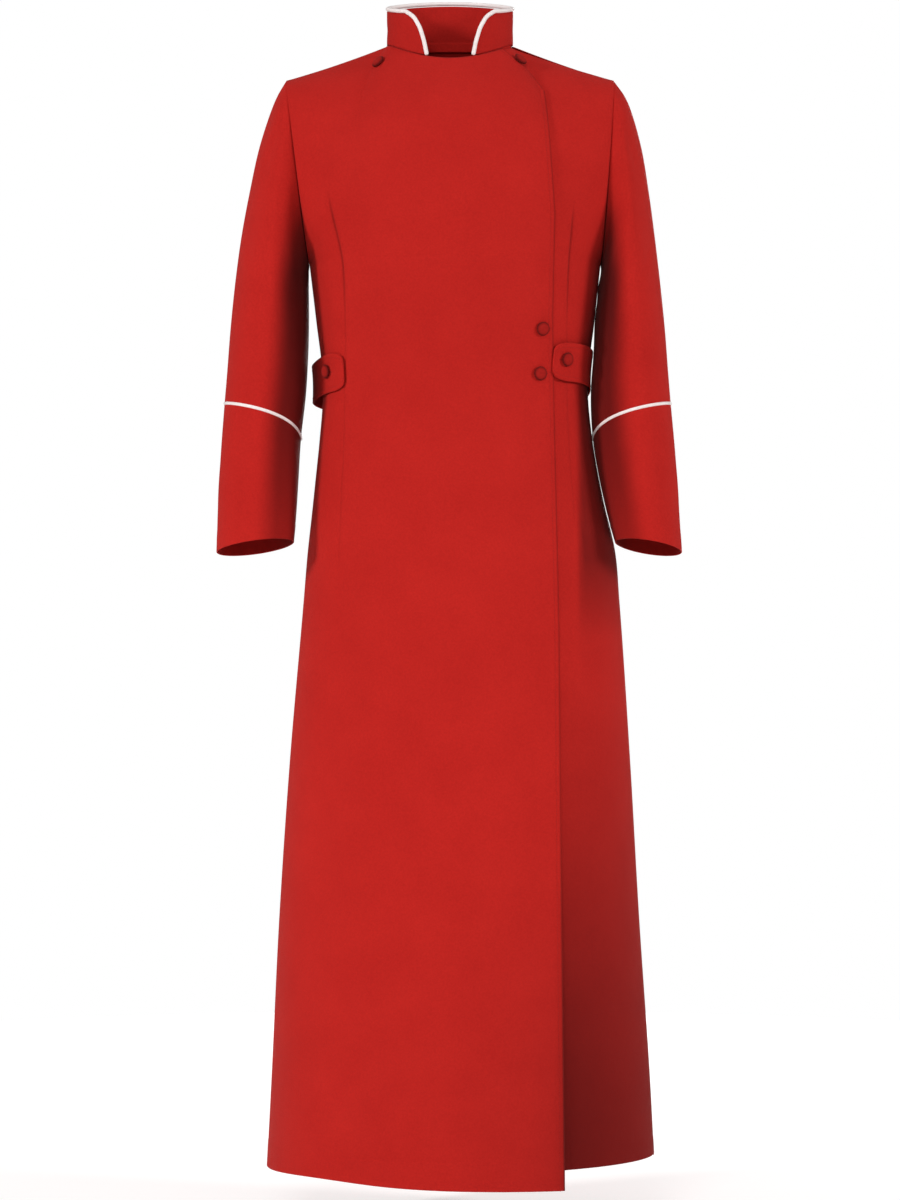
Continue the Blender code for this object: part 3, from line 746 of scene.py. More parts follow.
def edge_line(points, edge, inset):
    """A line of points on a grid, an inset away from one of its edges."""
    axis = 1 if edge in ("first", "last") else 0
    away = panel_length(points, axis)
    if edge in ("last", "top"):
        away = np.take(away, [-1], axis=axis) - away
    rows = (points, away) if axis == 1 else (points.transpose(1, 0, 2), away.T)
    line = []
    for row, distance in zip(*rows):
        order = np.argsort(distance)
        line.append([np.interp(inset, distance[order], row[order, k]) for k in range(3)])
    return np.array(line)


def overlap_columns(level):
    dart = share_where(right_dart_x, level, FRONT)
    edge = share_where(edge_x, level, FRONT)
    return spread((-1.0, dart, edge), OVERLAP_COUNTS, SHARE_GRADES)


def edge_flare(shares, heights):
    """The outer front's free edge stands off a little towards the hem."""
    fall = smooth_step(-heights, -STAND_OFF_START, -HEM)
    return EDGE_FLARE * fall * smooth_step(shares, *EDGE_FLARE_SPAN)


SHARE_GRADES = tuple(grade / SHARE_LENGTH for grade in EDGE_GRADES)
right_dart_x = curve_through(RIGHT_DART_ROWS, DART_COLUMNS, "z", "x")
plain, normals, shares, heights = body_grid(FRONT, OVERLAP_HEM_ROWS, overlap_columns)
seams = seam_relief(plain, heights, ("first", "top"))
relief = seams + edge_flare(shares, heights)
relief += soft_relief(plain, shares, heights, FRONT_CREASES)
dart_column = OVERLAP_COUNTS[0] + 2 * len(SHARE_GRADES) - 1
relief += dart_relief(plain, dart_column, DART_ENDS)
overlap_face = plain + normals * relief[..., None]
overlap_normals = normals
from_edge = panel_length(plain, 1)
from_edge = from_edge[:, -1:] - from_edge
# Painted shade along the sewn edges and the dart
painted_shade = painted_line_shade(seams + dart_relief(plain, dart_column, DART_ENDS, 0.0))
# Painted shadow: a thin dark line along the free edge
painted_shade += LINE_PAINTED_SHADE * np.exp(-((from_edge / FREE_EDGE_SHADE_WIDTH) ** 2))
# Painted shade towards the hem, deepest at the free edge
low_shade_fade = smooth_step(-heights, *LOW_SHADE_SPAN)
painted_shade += low_shade_fade * np.interp(from_edge, *zip(*LOW_SHADE_ROWS))
inside = overlap_face - CLOTH * normals
front_overlap = sewn_piece("front_overlap", overlap_face, inside, painted_shade)

edge_seam = edge_line(overlap_face, "last", EDGE_STITCH_INSET) + STITCH_LIFT * overlap_normals[:, -1]
sew("front_overlap_edge_stitches", [edge_seam])


# The inner front
#
# The wearer's left front lies under the outer one, and shows from its free edge to the left
# side. It hangs further back towards the hem, and has the other waist dart.
UNDERLAP_HEM_ROWS = ((-0.5, -1440), (0.5, -1436), (1, -1437))
LAP_DEPTH = 3.0
LAP_REACH = 0.7
LAP_CLEAR_SPAN = (0.04, 0.97)
HEM_STAND_OFF = 34.0
LEFT_DART_ROWS = ((-690, 166), (-480, 153), (-340, 152.2), (-290, 154.3), (-248, 157.3), (-60, 163))
LEFT_DART_ENDS = (-640.0, -205.0)
UNDERLAP_COUNTS = (44, 14)
LAP_SHADOW_ROWS = ((-1450, 0.80), (-1360, 0.76), (-1240, 0.64), (-1110, 0.45), (-980, 0.24), (-800, 0.0))
LAP_SHADOW_SIDE, LAP_SHADOW_MORE = 0.82, 0.18
# Painted shadow of the left arm on the side of the inner front: its strength, how far across and how high
SIDE_SHADE = 0.80
SIDE_SHADE_SPAN = (0.62, 0.93)
SIDE_SHADE_TOP = (260.0, 420.0)
SIDE_SHADE_END = (560.0, 700.0)
ARM_SHADOW_ROWS = (
    (-900, 0.0),
    (-775, 0.05),
    (-720, 0.34),
    (-668, 0.62),
    (-590, 0.62),
    (-470, 0.56),
    (-400, 0.3),
    (-330, 0.0),
)
ARM_SHADOW_SPAN = (161.0, 172.0)


def underlap_columns(level):
    hidden = -LAP_REACH * share_where(edge_x, level, FRONT)
    dart = share_where(left_dart_x, level, FRONT)
    return spread((hidden, dart, 1.0), UNDERLAP_COUNTS, SHARE_GRADES)


left_dart_x = curve_through(LEFT_DART_ROWS, DART_COLUMNS, "z", "x")
plain, normals, shares, heights = body_grid(FRONT, UNDERLAP_HEM_ROWS, underlap_columns)
edges = np.array([share_where(edge_x, row.mean(), FRONT) for row in heights])[:, None]
clear = 1 - smooth_step(shares, edges + LAP_CLEAR_SPAN[0], LAP_CLEAR_SPAN[1])
fall = smooth_step(-heights, -STAND_OFF_START, -HEM)
seams = seam_relief(plain, heights, ("last", "top"))
relief = seams - (LAP_DEPTH + HEM_STAND_OFF * fall) * clear
relief += soft_relief(plain, shares, heights, FRONT_CREASES)
dart_column = UNDERLAP_COUNTS[0] + 2 * len(SHARE_GRADES) - 1
relief += dart_relief(plain, dart_column, LEFT_DART_ENDS)
underlap_face = plain + normals * relief[..., None]

# Painted shadow where the outer front, which stands off towards the hem, and the left arm shade this panel,
# and painted shade along its sewn lines
painted_shade = np.interp(heights, *zip(*LAP_SHADOW_ROWS)) * (LAP_SHADOW_SIDE + LAP_SHADOW_MORE * clear)
# Painted shade at the left side next to the arm, and the arm's painted shadow below it
arm_side_shade = smooth_step(shares, *SIDE_SHADE_SPAN) * smooth_step(-heights, *SIDE_SHADE_TOP)
painted_shade += SIDE_SHADE * arm_side_shade * (1 - smooth_step(-heights, *SIDE_SHADE_END))
arm_shadow = smooth_step(plain[..., 0], *ARM_SHADOW_SPAN) * np.interp(heights, *zip(*ARM_SHADOW_ROWS))
painted_shade = np.maximum(painted_shade, arm_shadow)
painted_shade += (1 - painted_shade) * painted_line_shade(seams + dart_relief(plain, dart_column, LEFT_DART_ENDS, 0.0))
inside = underlap_face - CLOTH * normals
front_underlap = sewn_piece("front_underlap", underlap_face, inside, painted_shade)


# The back
#
# One panel from side to side, sewn to both fronts, with two waist darts. Below the waist it
# falls in deeper folds than the fronts do.
BACK_HEM_ROWS = ((-1, -1449), (0, -1445), (1, -1441))
BACK_DART_ROWS = ((-690, 98), (-440, 86), (-300, 92), (-60, 96))
BACK_DART_ENDS = (-660.0, -240.0)
BACK_COUNTS = (28, 44, 28)
BACK_CREASES = (
    (-150, -170, 150, 14, -12, -2.0),
    (152, -176, 140, 13, 14, -2.1),
    (-128, -118, 120, 13, -40, 1.3),
    (124, -112, 130, 14, 38, -1.4),
    (-40, -130, 200, 34, -8, -1.2),
    (36, -210, 230, 38, 6, -1.2),
    (4, -60, 120, 30, 86, -1.0),
    (-60, -400, 90, 10, 70, -1.2),
    (52, -420, 100, 11, -66, -1.3),
    (-10, -372, 120, 12, 84, 0.9),
    (10, -470, 140, 13, -82, -1.1),
    (-120, -500, 200, 16, -5, -1.8),
    (118, -520, 220, 17, 6, -1.7),
    (-30, -640, 380, 30, -2, -2.2),
    (44, -700, 420, 28, 3, 2.0),
    (-96, -900, 560, 26, -4, -2.4),
    (92, -960, 600, 26, 4, -2.3),
    (0, -1040, 620, 30, 0, -2.2),
    (-150, -1060, 560, 24, -6, 2.2),
    (156, -1100, 540, 24, 6, 2.1),
    (-46, -1220, 420, 20, -2, 1.9),
    (50, -1230, 400, 20, 3, 1.8),
)


def back_columns(level):
    dart = share_where(back_dart_x, level, BACK)
    return spread((-1.0, -dart, dart, 1.0), BACK_COUNTS, SHARE_GRADES)


back_dart_x = curve_through(BACK_DART_ROWS, DART_COLUMNS, "z", "x")
plain, normals, shares, heights = body_grid(BACK, BACK_HEM_ROWS, back_columns)
seams = seam_relief(plain, heights, ("first", "last", "top"))
relief = seams + soft_relief(plain, shares, heights, BACK_CREASES)
first_dart = BACK_COUNTS[0] + 2 * len(SHARE_GRADES) - 1
for column in (first_dart, first_dart + BACK_COUNTS[1] + 2 * len(SHARE_GRADES) - 1):
    relief += dart_relief(plain, column, BACK_DART_ENDS)
    seams = seams + dart_relief(plain, column, BACK_DART_ENDS, 0.0)
back_face = plain + normals * relief[..., None]
# Painted shade along the back's seams and darts
back = sewn_piece("back", back_face, back_face - CLOTH * normals, painted_line_shade(seams))


# The sleeves
#
# Each sleeve is a tube of the same cloth, set into its armhole and seamed along the inside.
# It hangs beside the body, bends a little at the elbow and ends at the cuff's piping.
SLEEVE_COLUMNS = (
    "outer_z",
    "inner_z",
    "right_outer",
    "right_inner",
    "left_outer",
    "left_inner",
    "centre_y",
    "depth",
    "dip",
    "tilt",
)
SLEEVE_ROWS = (
    (-75, -290, 229, 183.4, 232, 196.6, 4, 73, 0.0, 0),
    (-130, -299, 247, 183.6, 248, 195.6, 2, 77, 0.0, 0),
    (-190, -313, 260, 183.6, 258, 192.7, 0, 80, 0.0, 0),
    (-250, -332, 271, 183.4, 266, 191.1, -1, 81, 0.0, 0),
    (-310, -358, 279, 183.2, 273, 188.1, -2, 80, 0.1, 0),
    (-370, -400, 285, 184.0, 279, 186.4, -4, 76, 0.3, 0),
    (-425, -455, 289, 187.0, 283, 182.7, -8, 70, 0.7, 0),
    (-466, -512, 292, 193.0, 286, 184.9, -14, 64, 1.0, 0),
    (-530, -560, 296, 195.5, 291, 192.2, -26, 60, 0.6, 3),
    (-600, -608, 299, 198.0, 295, 202.4, -38, 57, 0.3, 6),
    (-659, -645, 300, 201.0, 298, 212.5, -48, 54, 0.0, 8),
)
PIPING_ROW = 8
CUFF_HEM_ROW = 11
CUFF_DIP_POWER = 2.2
CUFF_PIPING_RADIUS = 2.2
PIPING_GAP = 0.3
TUBE_COLUMNS = 96
SLEEVE_ROW_COUNT = 96
ROW_LENGTH = 52.0
INSIDE_SEAM_DEPTH = 0.2
SLEEVE_END_FADE = (4.0, 30.0)
SLEEVE_PIPING_FADE = (26.0, 4.0)

# Painted shade on the side that lies against the body, which the body shades: how far round, in degrees, and
# how high
FRONT_SHADE_SPAN = (88.0, 128.0)
BACK_SHADE_SPAN = (200.0, 270.0)
SLEEVE_SHADE_ROWS = ((-660, 0.36), (-570, 0.62), (-480, 0.78), (-400, 0.84), (-300, 0.92), (-220, 0.64), (-100, 0.0))

# Creases of a sleeve: x is how far round from the outside towards the front, z how far down
SLEEVE_CREASES = (
    (70, -70, 120, 13, 12, -2.0),
    (104, -95, 130, 11, 16, 1.7),
    (134, -110, 120, 12, 20, -2.4),
    (30, -60, 100, 15, -8, -1.3),
    (60, -205, 150, 14, 24, -1.7),
    (96, -226, 120, 10, 34, 1.5),
    (128, -236, 110, 10, 40, -2.3),
    (150, -262, 90, 9, 46, 1.6),
    (112, -286, 110, 11, 52, -1.9),
    (44, -300, 120, 14, 30, -1.2),
    (84, -338, 110, 12, 40, 1.0),
    (140, -330, 90, 9, 34, -1.7),
    (-60, -90, 130, 14, -14, -2.0),
    (-104, -120, 130, 12, -22, 1.5),
    (-130, -180, 140, 13, -26, -2.0),
    (-70, -250, 140, 14, -34, -2.2),
    (-100, -285, 110, 10, -44, 1.7),
    (-126, -310, 100, 11, -50, -1.8),
    (-40, -330, 120, 15, -20, -1.2),
)


def sleeve_shape(hand):
    """A sleeve's columns as smooth curves over its rows, row 0 being the armhole."""
    name = "right" if hand == RIGHT else "left"
    tip, pit = armhole(0, hand), armhole(180, hand)
    centre_y = (tip[1] + pit[1]) / 2
    rows = [(0, tip[2], pit[2], abs(tip[0]), abs(pit[0]), centre_y, ARMHOLE_DEPTH, 0, 0)]
    for number, row in enumerate(SLEEVE_ROWS, 1):
        value = dict(zip(SLEEVE_COLUMNS, row))
        across = (value[name + "_outer"], value[name + "_inner"])
        rest = [value[key] for key in ("centre_y", "depth", "dip", "tilt")]
        rows.append((number, value["outer_z"], value["inner_z"], *across, *rest))
    columns = ("row", "outer_z", "inner_z", "outer", "inner", "centre_y", "depth", "dip", "tilt")
    shape = {key: curve_through(rows, columns, "row", key) for key in columns[1:]}

    def ring_of(row, angles):
        """A ring of the sleeve: angle 0 outside, 90 in front, 180 inside."""
        value = {key: curve(row) for key, curve in shape.items()}
        turn = np.radians(angles)
        folded = np.abs((angles + 180) % 360 - 180) / 180
        level = (1 - np.cos(turn)) / 2
        level = level + (folded**CUFF_DIP_POWER - level) * value["dip"]
        lean = SHOULDER_TIP[1] / 2 * max(1 - row, 0)
        across = (value["outer"] + value["inner"]) / 2
        across = across + np.cos(turn) * (value["outer"] - value["inner"]) / 2
        along = value["centre_y"] + lean * np.cos(turn) - value["depth"] * np.sin(turn)
        z = value["outer_z"] + (value["inner_z"] - value["outer_z"]) * level
        return np.stack([hand * across, along, z + value["tilt"] * np.sin(turn)], axis=-1)

    return ring_of


def tube_grid(ring_of, rows):
    """A tube's points and outward directions, ring by ring."""
    points = np.array([ring_of(row, TUBE_ANGLES) for row in rows])
    centres = points.mean(axis=1, keepdims=True)
    return points, surface_normals(points, points - centres, closed=True)


def tube_lengths(points):
    """How far each point of a tube is down it, round it from the outside, and from its seam."""
    around = panel_length(points, 1)
    girth = around[:, -1:] + np.linalg.norm(points[:, :1] - points[:, -1:], axis=-1)
    signed = np.where(around > girth / 2, around - girth, around)
    return panel_length(points, 0), signed, np.abs(around - girth / 2)


def draw_back(end_ring, next_ring):
    """Shortens a tube at one end, for the piping that lies there."""
    end_ring += unit(next_ring - end_ring) * (CUFF_PIPING_RADIUS + PIPING_GAP)


def inside_painted_shade(points):
    """Painted shade on the side of a sleeve that lies against the body."""
    facing = smooth_step(TUBE_ANGLES, *FRONT_SHADE_SPAN)
    facing = facing * (1 - smooth_step(TUBE_ANGLES, *BACK_SHADE_SPAN))
    return facing * np.interp(points[..., 2], *zip(*SLEEVE_SHADE_ROWS))


TUBE_ANGLES = np.arange(TUBE_COLUMNS) * 360 / TUBE_COLUMNS
ROW_GRADES = tuple(grade / ROW_LENGTH for grade in EDGE_GRADES)
sleeve_rows = spread((0.0, float(PIPING_ROW)), (SLEEVE_ROW_COUNT,), ROW_GRADES)
for hand, side_name in ((RIGHT, "right"), (LEFT, "left")):
    plain, normals = tube_grid(sleeve_shape(hand), sleeve_rows)
    down, signed, from_seam = tube_lengths(plain)
    relief = line_dip(down) + line_dip(from_seam, INSIDE_SEAM_DEPTH)
    end = down[-1:].min()
    calm = smooth_step(down, *SLEEVE_END_FADE)
    calm = calm * (1 - smooth_step(down, *(end - fade for fade in SLEEVE_PIPING_FADE)))
    relief = relief + calm * crease_relief(signed, -down, SLEEVE_CREASES)
    face = plain + normals * relief[..., None]
    draw_back(face[-1], face[-2])
    inside = face - CLOTH * normals
    sleeve = sewn_piece("sleeve_" + side_name, face, inside, inside_painted_shade(plain), closed=True)


# The cuffs and their piping
#
# Each cuff is a shaped band below the sleeve. A white corded piping is caught in the seam
# between them, which runs from high on the outside to low on the inside.
CUFF_ROW_COUNT = 34
CUFF_HEM_TURN = 24.0
CUFF_HEM_FADE = (0.0, 30.0)
CUFF_CREASES = (
    (60, -60, 90, 16, 20, -0.9),
    (120, -70, 100, 14, 12, -1.1),
    (-60, -70, 110, 18, -16, -1.0),
    (20, -110, 70, 20, 4, 0.7),
)
CORD_SIDES = 14
CORD_CAP_RINGS = 4
CORD_TIP_RADIUS = 0.02
PIPING_WHITE = (0.93, 0.86, 0.84, 1.0)
PIPING_SHADE = (0.80, 0.70, 0.68, 1.0)
PIPING_TWIST = 0.0016
PIPING_PATCH_SCALE = 130
PIPING_RELIEF = (0.4, 0.00015)


def piping_cloth(name, light, dark):
    """A bias strip of smooth white cloth over a cord: faint slanting yarns."""
    material, tree = new_material(name, {"Roughness": 0.55, "Sheen Weight": 0.1})
    yarns = waves(tree, maths(tree, "ADD", *cloth_directions(tree)), PIPING_TWIST)
    patch = noise(tree, {"Scale": PIPING_PATCH_SCALE, "Detail": 4})
    feed_shader(tree, {
        "Base Color": colour_mix(tree, patch, dark, light),
        "Normal": relief_node(tree, yarns, PIPING_RELIEF),
    })
    return material


def corded_piping(node, points, outward, radius, closed):
    """A round cord in white cloth along points, with rounded ends where it is open."""
    points, outward = np.array(points, float), np.array(outward, float)
    if closed:
        along = unit(np.roll(points, -1, axis=0) - np.roll(points, 1, axis=0))
    else:
        along = unit(np.gradient(points, axis=0))
    aside = unit(np.cross(along, outward))
    out = np.cross(aside, along)
    stations = [(points[i], out[i], aside[i], radius) for i in range(len(points))]
    if not closed:
        turns = np.linspace(0, math.pi / 2, CORD_CAP_RINGS + 1)[1:]
        for end, way in ((0, -1), (-1, 1)):
            caps = []
            for turn in turns:
                middle = points[end] + way * along[end] * radius * math.sin(turn)
                reach = max(radius * math.cos(turn), CORD_TIP_RADIUS)
                caps.append((middle, out[end], aside[end], reach))
            stations = [*caps[::-1], *stations] if way < 0 else [*stations, *caps]
    angles = np.arange(CORD_SIDES) * 2 * math.pi / CORD_SIDES
    rings = np.array(
        [p + r * (np.outer(np.cos(angles), n) + np.outer(np.sin(angles), s)) for p, n, s, r in stations]
    )
    count = len(stations)
    length = np.concatenate([[0], np.cumsum(np.linalg.norm(np.diff(rings[:, 0], axis=0), axis=1))])
    length = np.append(length, length[-1] + np.linalg.norm(rings[-1, 0] - rings[0, 0])) * MM
    faces, places = [], []
    for i in range(count if closed else count - 1):
        for j in range(CORD_SIDES):
            k, n = (i + 1) % count, (j + 1) % CORD_SIDES
            faces.append([i * CORD_SIDES + j, i * CORD_SIDES + n, k * CORD_SIDES + n, k * CORD_SIDES + j])
            low, high = j * radius * angles[1] * MM, (j + 1) * radius * angles[1] * MM
            places += [(low, length[i]), (high, length[i]), (high, length[i + 1]), (low, length[i + 1])]
    if not closed:
        for first in (0, (count - 1) * CORD_SIDES):
            faces.append(list(range(first, first + CORD_SIDES)))
            places += [(0.0, 0.0)] * CORD_SIDES
    piece = finished_mesh(node + "_cord", rings.reshape(-1, 3), faces, places, (WHITE_PIPING,))
    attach(piece, "root")
    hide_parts(node)


WHITE_PIPING = piping_cloth("white_piping", PIPING_WHITE, PIPING_SHADE)
cuff_rows = spread((float(PIPING_ROW), float(CUFF_HEM_ROW)), (CUFF_ROW_COUNT,), ROW_GRADES)
for hand, side_name in ((RIGHT, "right"), (LEFT, "left")):
    plain, normals = tube_grid(sleeve_shape(hand), cuff_rows)
    down, signed, from_seam = tube_lengths(plain)
    from_hem = down[-1:] - down
    relief = HEM_RELIEF * (1 - smooth_step(from_hem, CUFF_HEM_TURN - 1, CUFF_HEM_TURN + 1))
    relief = relief + line_dip(from_seam, INSIDE_SEAM_DEPTH)
    calm = smooth_step(down, *SLEEVE_END_FADE) * smooth_step(from_hem, *CUFF_HEM_FADE)
    relief = relief + calm * crease_relief(signed, -down, CUFF_CREASES)
    face = plain + normals * relief[..., None]
    draw_back(face[0], face[1])
    inside = face - CLOTH * normals
    cuff = sewn_piece("cuff_" + side_name, face, inside, inside_painted_shade(plain), closed=True)
    middle = plain[0] - CLOTH / 2 * normals[0]
    corded_piping("cuff_piping_" + side_name, middle, normals[0], CUFF_PIPING_RADIUS, closed=True)


# The collar and its piping
#
# A stiffened stand collar is sewn into the neck edge and stays open in front, where its ends
# curve. The same white piping edges it from one end over the top to the other.
COLLAR_CLOTH = 2.0
COLLAR_SEAM = 0.7
COLLAR_TOP_COLUMNS = ("angle", "z")
COLLAR_TOP_ROWS = ((-90, 48), (0, 63), (90, 48), (135, 38), (160, 36))
COLLAR_EDGE_COLUMNS = ("height", "angle")
COLLAR_EDGE_ROWS = ((0, 158.5), (0.38, 154.7), (0.7, 149.2), (0.9, 142.4), (1, 135))
COLLAR_HEIGHT = 45.0
COLLAR_PIPING_RADIUS = 2.7
COLLAR_COLUMNS = 180
COLLAR_HEIGHTS = 22
HEIGHT_STEP = 0.02
PIPING_UP_STEPS = 26
PIPING_ROUND_STEPS = 170
COLLAR_TONE = 0.1
COLLAR_END_FADE = 12.0
COLLAR_MIDDLE = 22.0
NECK_TAPE_SHARE = 0.95
NECK_TAPE_HEIGHTS = (-0.11, 0.10)
NECK_TAPE_STEPS = 6
NECK_TAPE_INSET = 2.2
NECK_TAPE_CLOTH = 0.8
COLLAR_CREASES = (
    (96, -8, 44, 7, 62, -0.9),
    (150, 10, 40, 6, 40, -0.6),
    (-104, -4, 40, 7, -58, -0.7),
    (10, 20, 60, 12, 20, -0.4),
)


def collar_point(share, height, trim=0.0):
    """A point of the collar: share -1 to 1 round it, height 0 to 1 up it."""
    height *= 1 - trim / COLLAR_HEIGHT
    rise = collar_edge(height + HEIGHT_STEP) - collar_edge(height - HEIGHT_STEP)
    slope = math.radians(rise) * NECK_HALF_WIDTH / (2 * HEIGHT_STEP * COLLAR_HEIGHT)
    cut = math.degrees(trim * math.hypot(1, slope) / NECK_HALF_WIDTH)
    angle = share * (collar_edge(height) - cut)
    side = BACK if abs(angle) < 90 else FRONT
    base = neckline(abs(angle) if side == BACK else 180 - abs(angle), side)
    base[0] = math.copysign(base[0], angle)
    base[2] += COLLAR_SEAM
    return np.array((base[0], base[1], base[2] + (collar_top(abs(angle)) - base[2]) * height))


def collar_outward(point):
    depth = NECK_DEPTH[BACK if point[1] > 0 else FRONT]
    return unit(np.array((point[0] / NECK_HALF_WIDTH**2, point[1] / depth**2, 0.0)))


def collar_grid(width, heights, trim=0.0):
    """Points round a share of the collar at a few heights, and their outward directions."""
    shares = np.linspace(-1, 1, COLLAR_COLUMNS + 1)
    points = np.array([[collar_point(width * s, h, trim) for s in shares] for h in heights])
    return points, np.array([[collar_outward(point) for point in row] for row in points])


collar_top = curve_through(COLLAR_TOP_ROWS, COLLAR_TOP_COLUMNS, "angle", "z")
collar_edge = curve_through(COLLAR_EDGE_ROWS, COLLAR_EDGE_COLUMNS, "height", "angle")
collar_heights = np.linspace(0, 1, COLLAR_HEIGHTS + 1)
plain, normals = collar_grid(1, collar_heights, COLLAR_PIPING_RADIUS + 2 * PIPING_GAP)
around = panel_length(plain, 1)
around = around - around[:, -1:] / 2
calm = smooth_step(np.abs(around), around.max(), around.max() - COLLAR_END_FADE)
relief = calm * crease_relief(around, plain[..., 2] - COLLAR_MIDDLE, COLLAR_CREASES)
face = plain + normals * relief[..., None]
inside = face - COLLAR_CLOTH * normals
collar = sewn_piece("collar", face, inside, np.full(plain.shape[:2], COLLAR_TONE), inside_material=FACE_CLOTH)

# A strip of the same cloth covers the neck seam inside
tape, normals = collar_grid(NECK_TAPE_SHARE, np.linspace(*NECK_TAPE_HEIGHTS, NECK_TAPE_STEPS + 1))
tape -= NECK_TAPE_INSET * normals
inside = tape - NECK_TAPE_CLOTH * normals
untoned = np.zeros(tape.shape[:2])
neck_tape = cloth_shell("neck_seam_tape", tape, inside, False, (FACE_CLOTH, FACE_CLOTH), untoned)
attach(neck_tape, "root")

low = COLLAR_PIPING_RADIUS / 2 / COLLAR_HEIGHT
up_heights = np.linspace(low, 1, PIPING_UP_STEPS + 1)[:-1]
round_shares = np.linspace(-1, 1, PIPING_ROUND_STEPS + 1)
path = [(-1, h) for h in up_heights] + [(s, 1) for s in round_shares] + [(1, h) for h in up_heights[::-1]]
edge = [collar_point(s, h) for s, h in path]
outward = [collar_outward(point) for point in edge]
middle = [point - COLLAR_CLOTH / 2 * way for point, way in zip(edge, outward)]
corded_piping("collar_piping", middle, outward, COLLAR_PIPING_RADIUS, closed=False)


# The belt
#
# A doubled strip of the same cloth runs round the back and stands off at the right side. Its
# narrowed ends button to the fronts, and its edges are topstitched.
BELT_CLOTH = 2.0
BELT_COLUMNS = ("around", "z", "lift")
BELT_ROWS = (
    (-1.413, -427, 0.5),
    (-1.2, -430, 1.5),
    (-1.0, -440, 11.0),
    (-0.8, -446, 7.0),
    (-0.4, -450, 2.5),
    (0.4, -446, 2.5),
    (0.8, -434, 2.0),
    (1.0, -424, 1.5),
    (1.2, -418, 1.0),
    (1.525, -415, 0.5),
)
BELT_WIDTH = 48.0
BELT_TIP = 0.13
BELT_TIP_WIDTH = 0.6
BELT_GAP = 0.3
BELT_STEPS = 260
BELT_WIDTH_STEPS = 14
BELT_STITCH_INSET = 5.0
# Painted shade where the belt stands off at the right side, between arm and body: its strength, where round
# and how far
BELT_SHADE = 0.7
BELT_SHADE_MIDDLE = -1.06
BELT_SHADE_REACH = 0.11
BELT_NORMAL_STEP = 0.004
BELT_LEVEL_STEP = 2.0
BELT_CREASE_FLOOR = -0.3
BELT_CREASES = (
    (-300, 4, 60, 6, 70, -0.8),
    (-210, -6, 70, 7, 80, 0.7),
    (-90, 6, 90, 8, 84, -0.8),
    (40, -5, 80, 8, 92, 0.7),
    (160, 5, 90, 8, 96, -0.8),
    (330, -4, 70, 6, 108, -0.8),
)


def around_body(around, level):
    """A point and its outward direction, 0 in the middle of the back, 1 at the left side seam."""
    side = BACK if abs(around) <= 1 else FRONT
    u = around if side == BACK else math.copysign(2 - abs(around), around)
    right, left = max(u - BELT_NORMAL_STEP, -1), min(u + BELT_NORMAL_STEP, 1)
    across = body(left, level, side) - body(right, level, side)
    up = body(u, level + BELT_LEVEL_STEP, side) - body(u, level - BELT_LEVEL_STEP, side)
    return body(u, level, side), unit(np.cross(across, up)) * -side


def belt_place(around, share):
    """A point of the belt's inner skin and its outward direction. share runs from -0.5 to 0.5."""
    first, last = BELT_ROWS[0][0], BELT_ROWS[-1][0]
    inset = min(around - first, last - around) / BELT_TIP
    narrow = math.sqrt(1 - (1 - min(max(inset, 0), 1)) ** 2)
    width = BELT_WIDTH * (BELT_TIP_WIDTH + (1 - BELT_TIP_WIDTH) * narrow)
    point, normal = around_body(float(around), belt_z(around) + share * width)
    return point + normal * (BELT_GAP + belt_lift(around)), normal


belt_z = curve_through(BELT_ROWS, BELT_COLUMNS, "around", "z")
belt_lift = curve_through(BELT_ROWS, BELT_COLUMNS, "around", "lift")
belt_shares = np.linspace(-0.5, 0.5, BELT_WIDTH_STEPS + 1)
belt_rounds = np.linspace(BELT_ROWS[0][0], BELT_ROWS[-1][0], BELT_STEPS + 1)
places = [[belt_place(around, share) for around in belt_rounds] for share in belt_shares]
inner = np.array([[point for point, _ in row] for row in places])
normals = np.array([[normal for _, normal in row] for row in places])
length = panel_length(inner, 1)
length = length - length[:, -1:] / 2
width = panel_length(inner, 0)
width = width - width[-1:] / 2
relief = np.maximum(crease_relief(length, width, BELT_CREASES), BELT_CREASE_FLOOR)
inner = inner + normals * relief[..., None]
belt_face = inner + BELT_CLOTH * normals
belt_normals = normals
# Painted shade on the belt where it stands off
painted_shade = BELT_SHADE * np.exp(-(((belt_rounds - BELT_SHADE_MIDDLE) / BELT_SHADE_REACH) ** 2))
belt = sewn_piece("belt", belt_face, inner, np.tile(painted_shade, (len(belt_shares), 1)))
belt_lines = [
    edge_line(belt_face, edge, BELT_STITCH_INSET) + STITCH_LIFT * normals[row]
    for edge, row in (("bottom", 0), ("top", -1))
]
sew("belt_edge_stitches", belt_lines)


# The buttons
#
# Round moulds covered in the same cloth, gathered in behind, each on a thread shank. Two sit
# near the collar, two on the outer front's edge at the waist and one on each belt end.
BUTTONS = ("neck_right", "neck_left", "waist_upper", "waist_lower", "belt_right", "belt_left")

# A button's profile from its top to its back, as shares of its radius and height
BUTTON_PROFILE = (
    (0.0, 1.0),
    (0.2, 0.99),
    (0.4, 0.955),
    (0.58, 0.89),
    (0.74, 0.79),
    (0.87, 0.64),
    (0.95, 0.48),
    (0.985, 0.33),
    (0.97, 0.18),
    (0.9, 0.06),
    (0.7, 0.0),
    (0.3, 0.0),
)
BUTTON_SIDES = 48
PUCKERS = 13
PUCKER_DEPTH = 0.016
PUCKER_SPAN = (0.35, 0.9)
# Painted shade on a button: a little on its top, much at its rim and behind, and how far down it deepens
BUTTON_SHADE = (0.28, 0.85)
BUTTON_SHADE_SPAN = (0.02, 0.5)
SHANK_RADIUS = 1.7
SHANK_FOOT = 1.2
SHANK_LENGTH = 1.3
SHANK_SIDES = 12

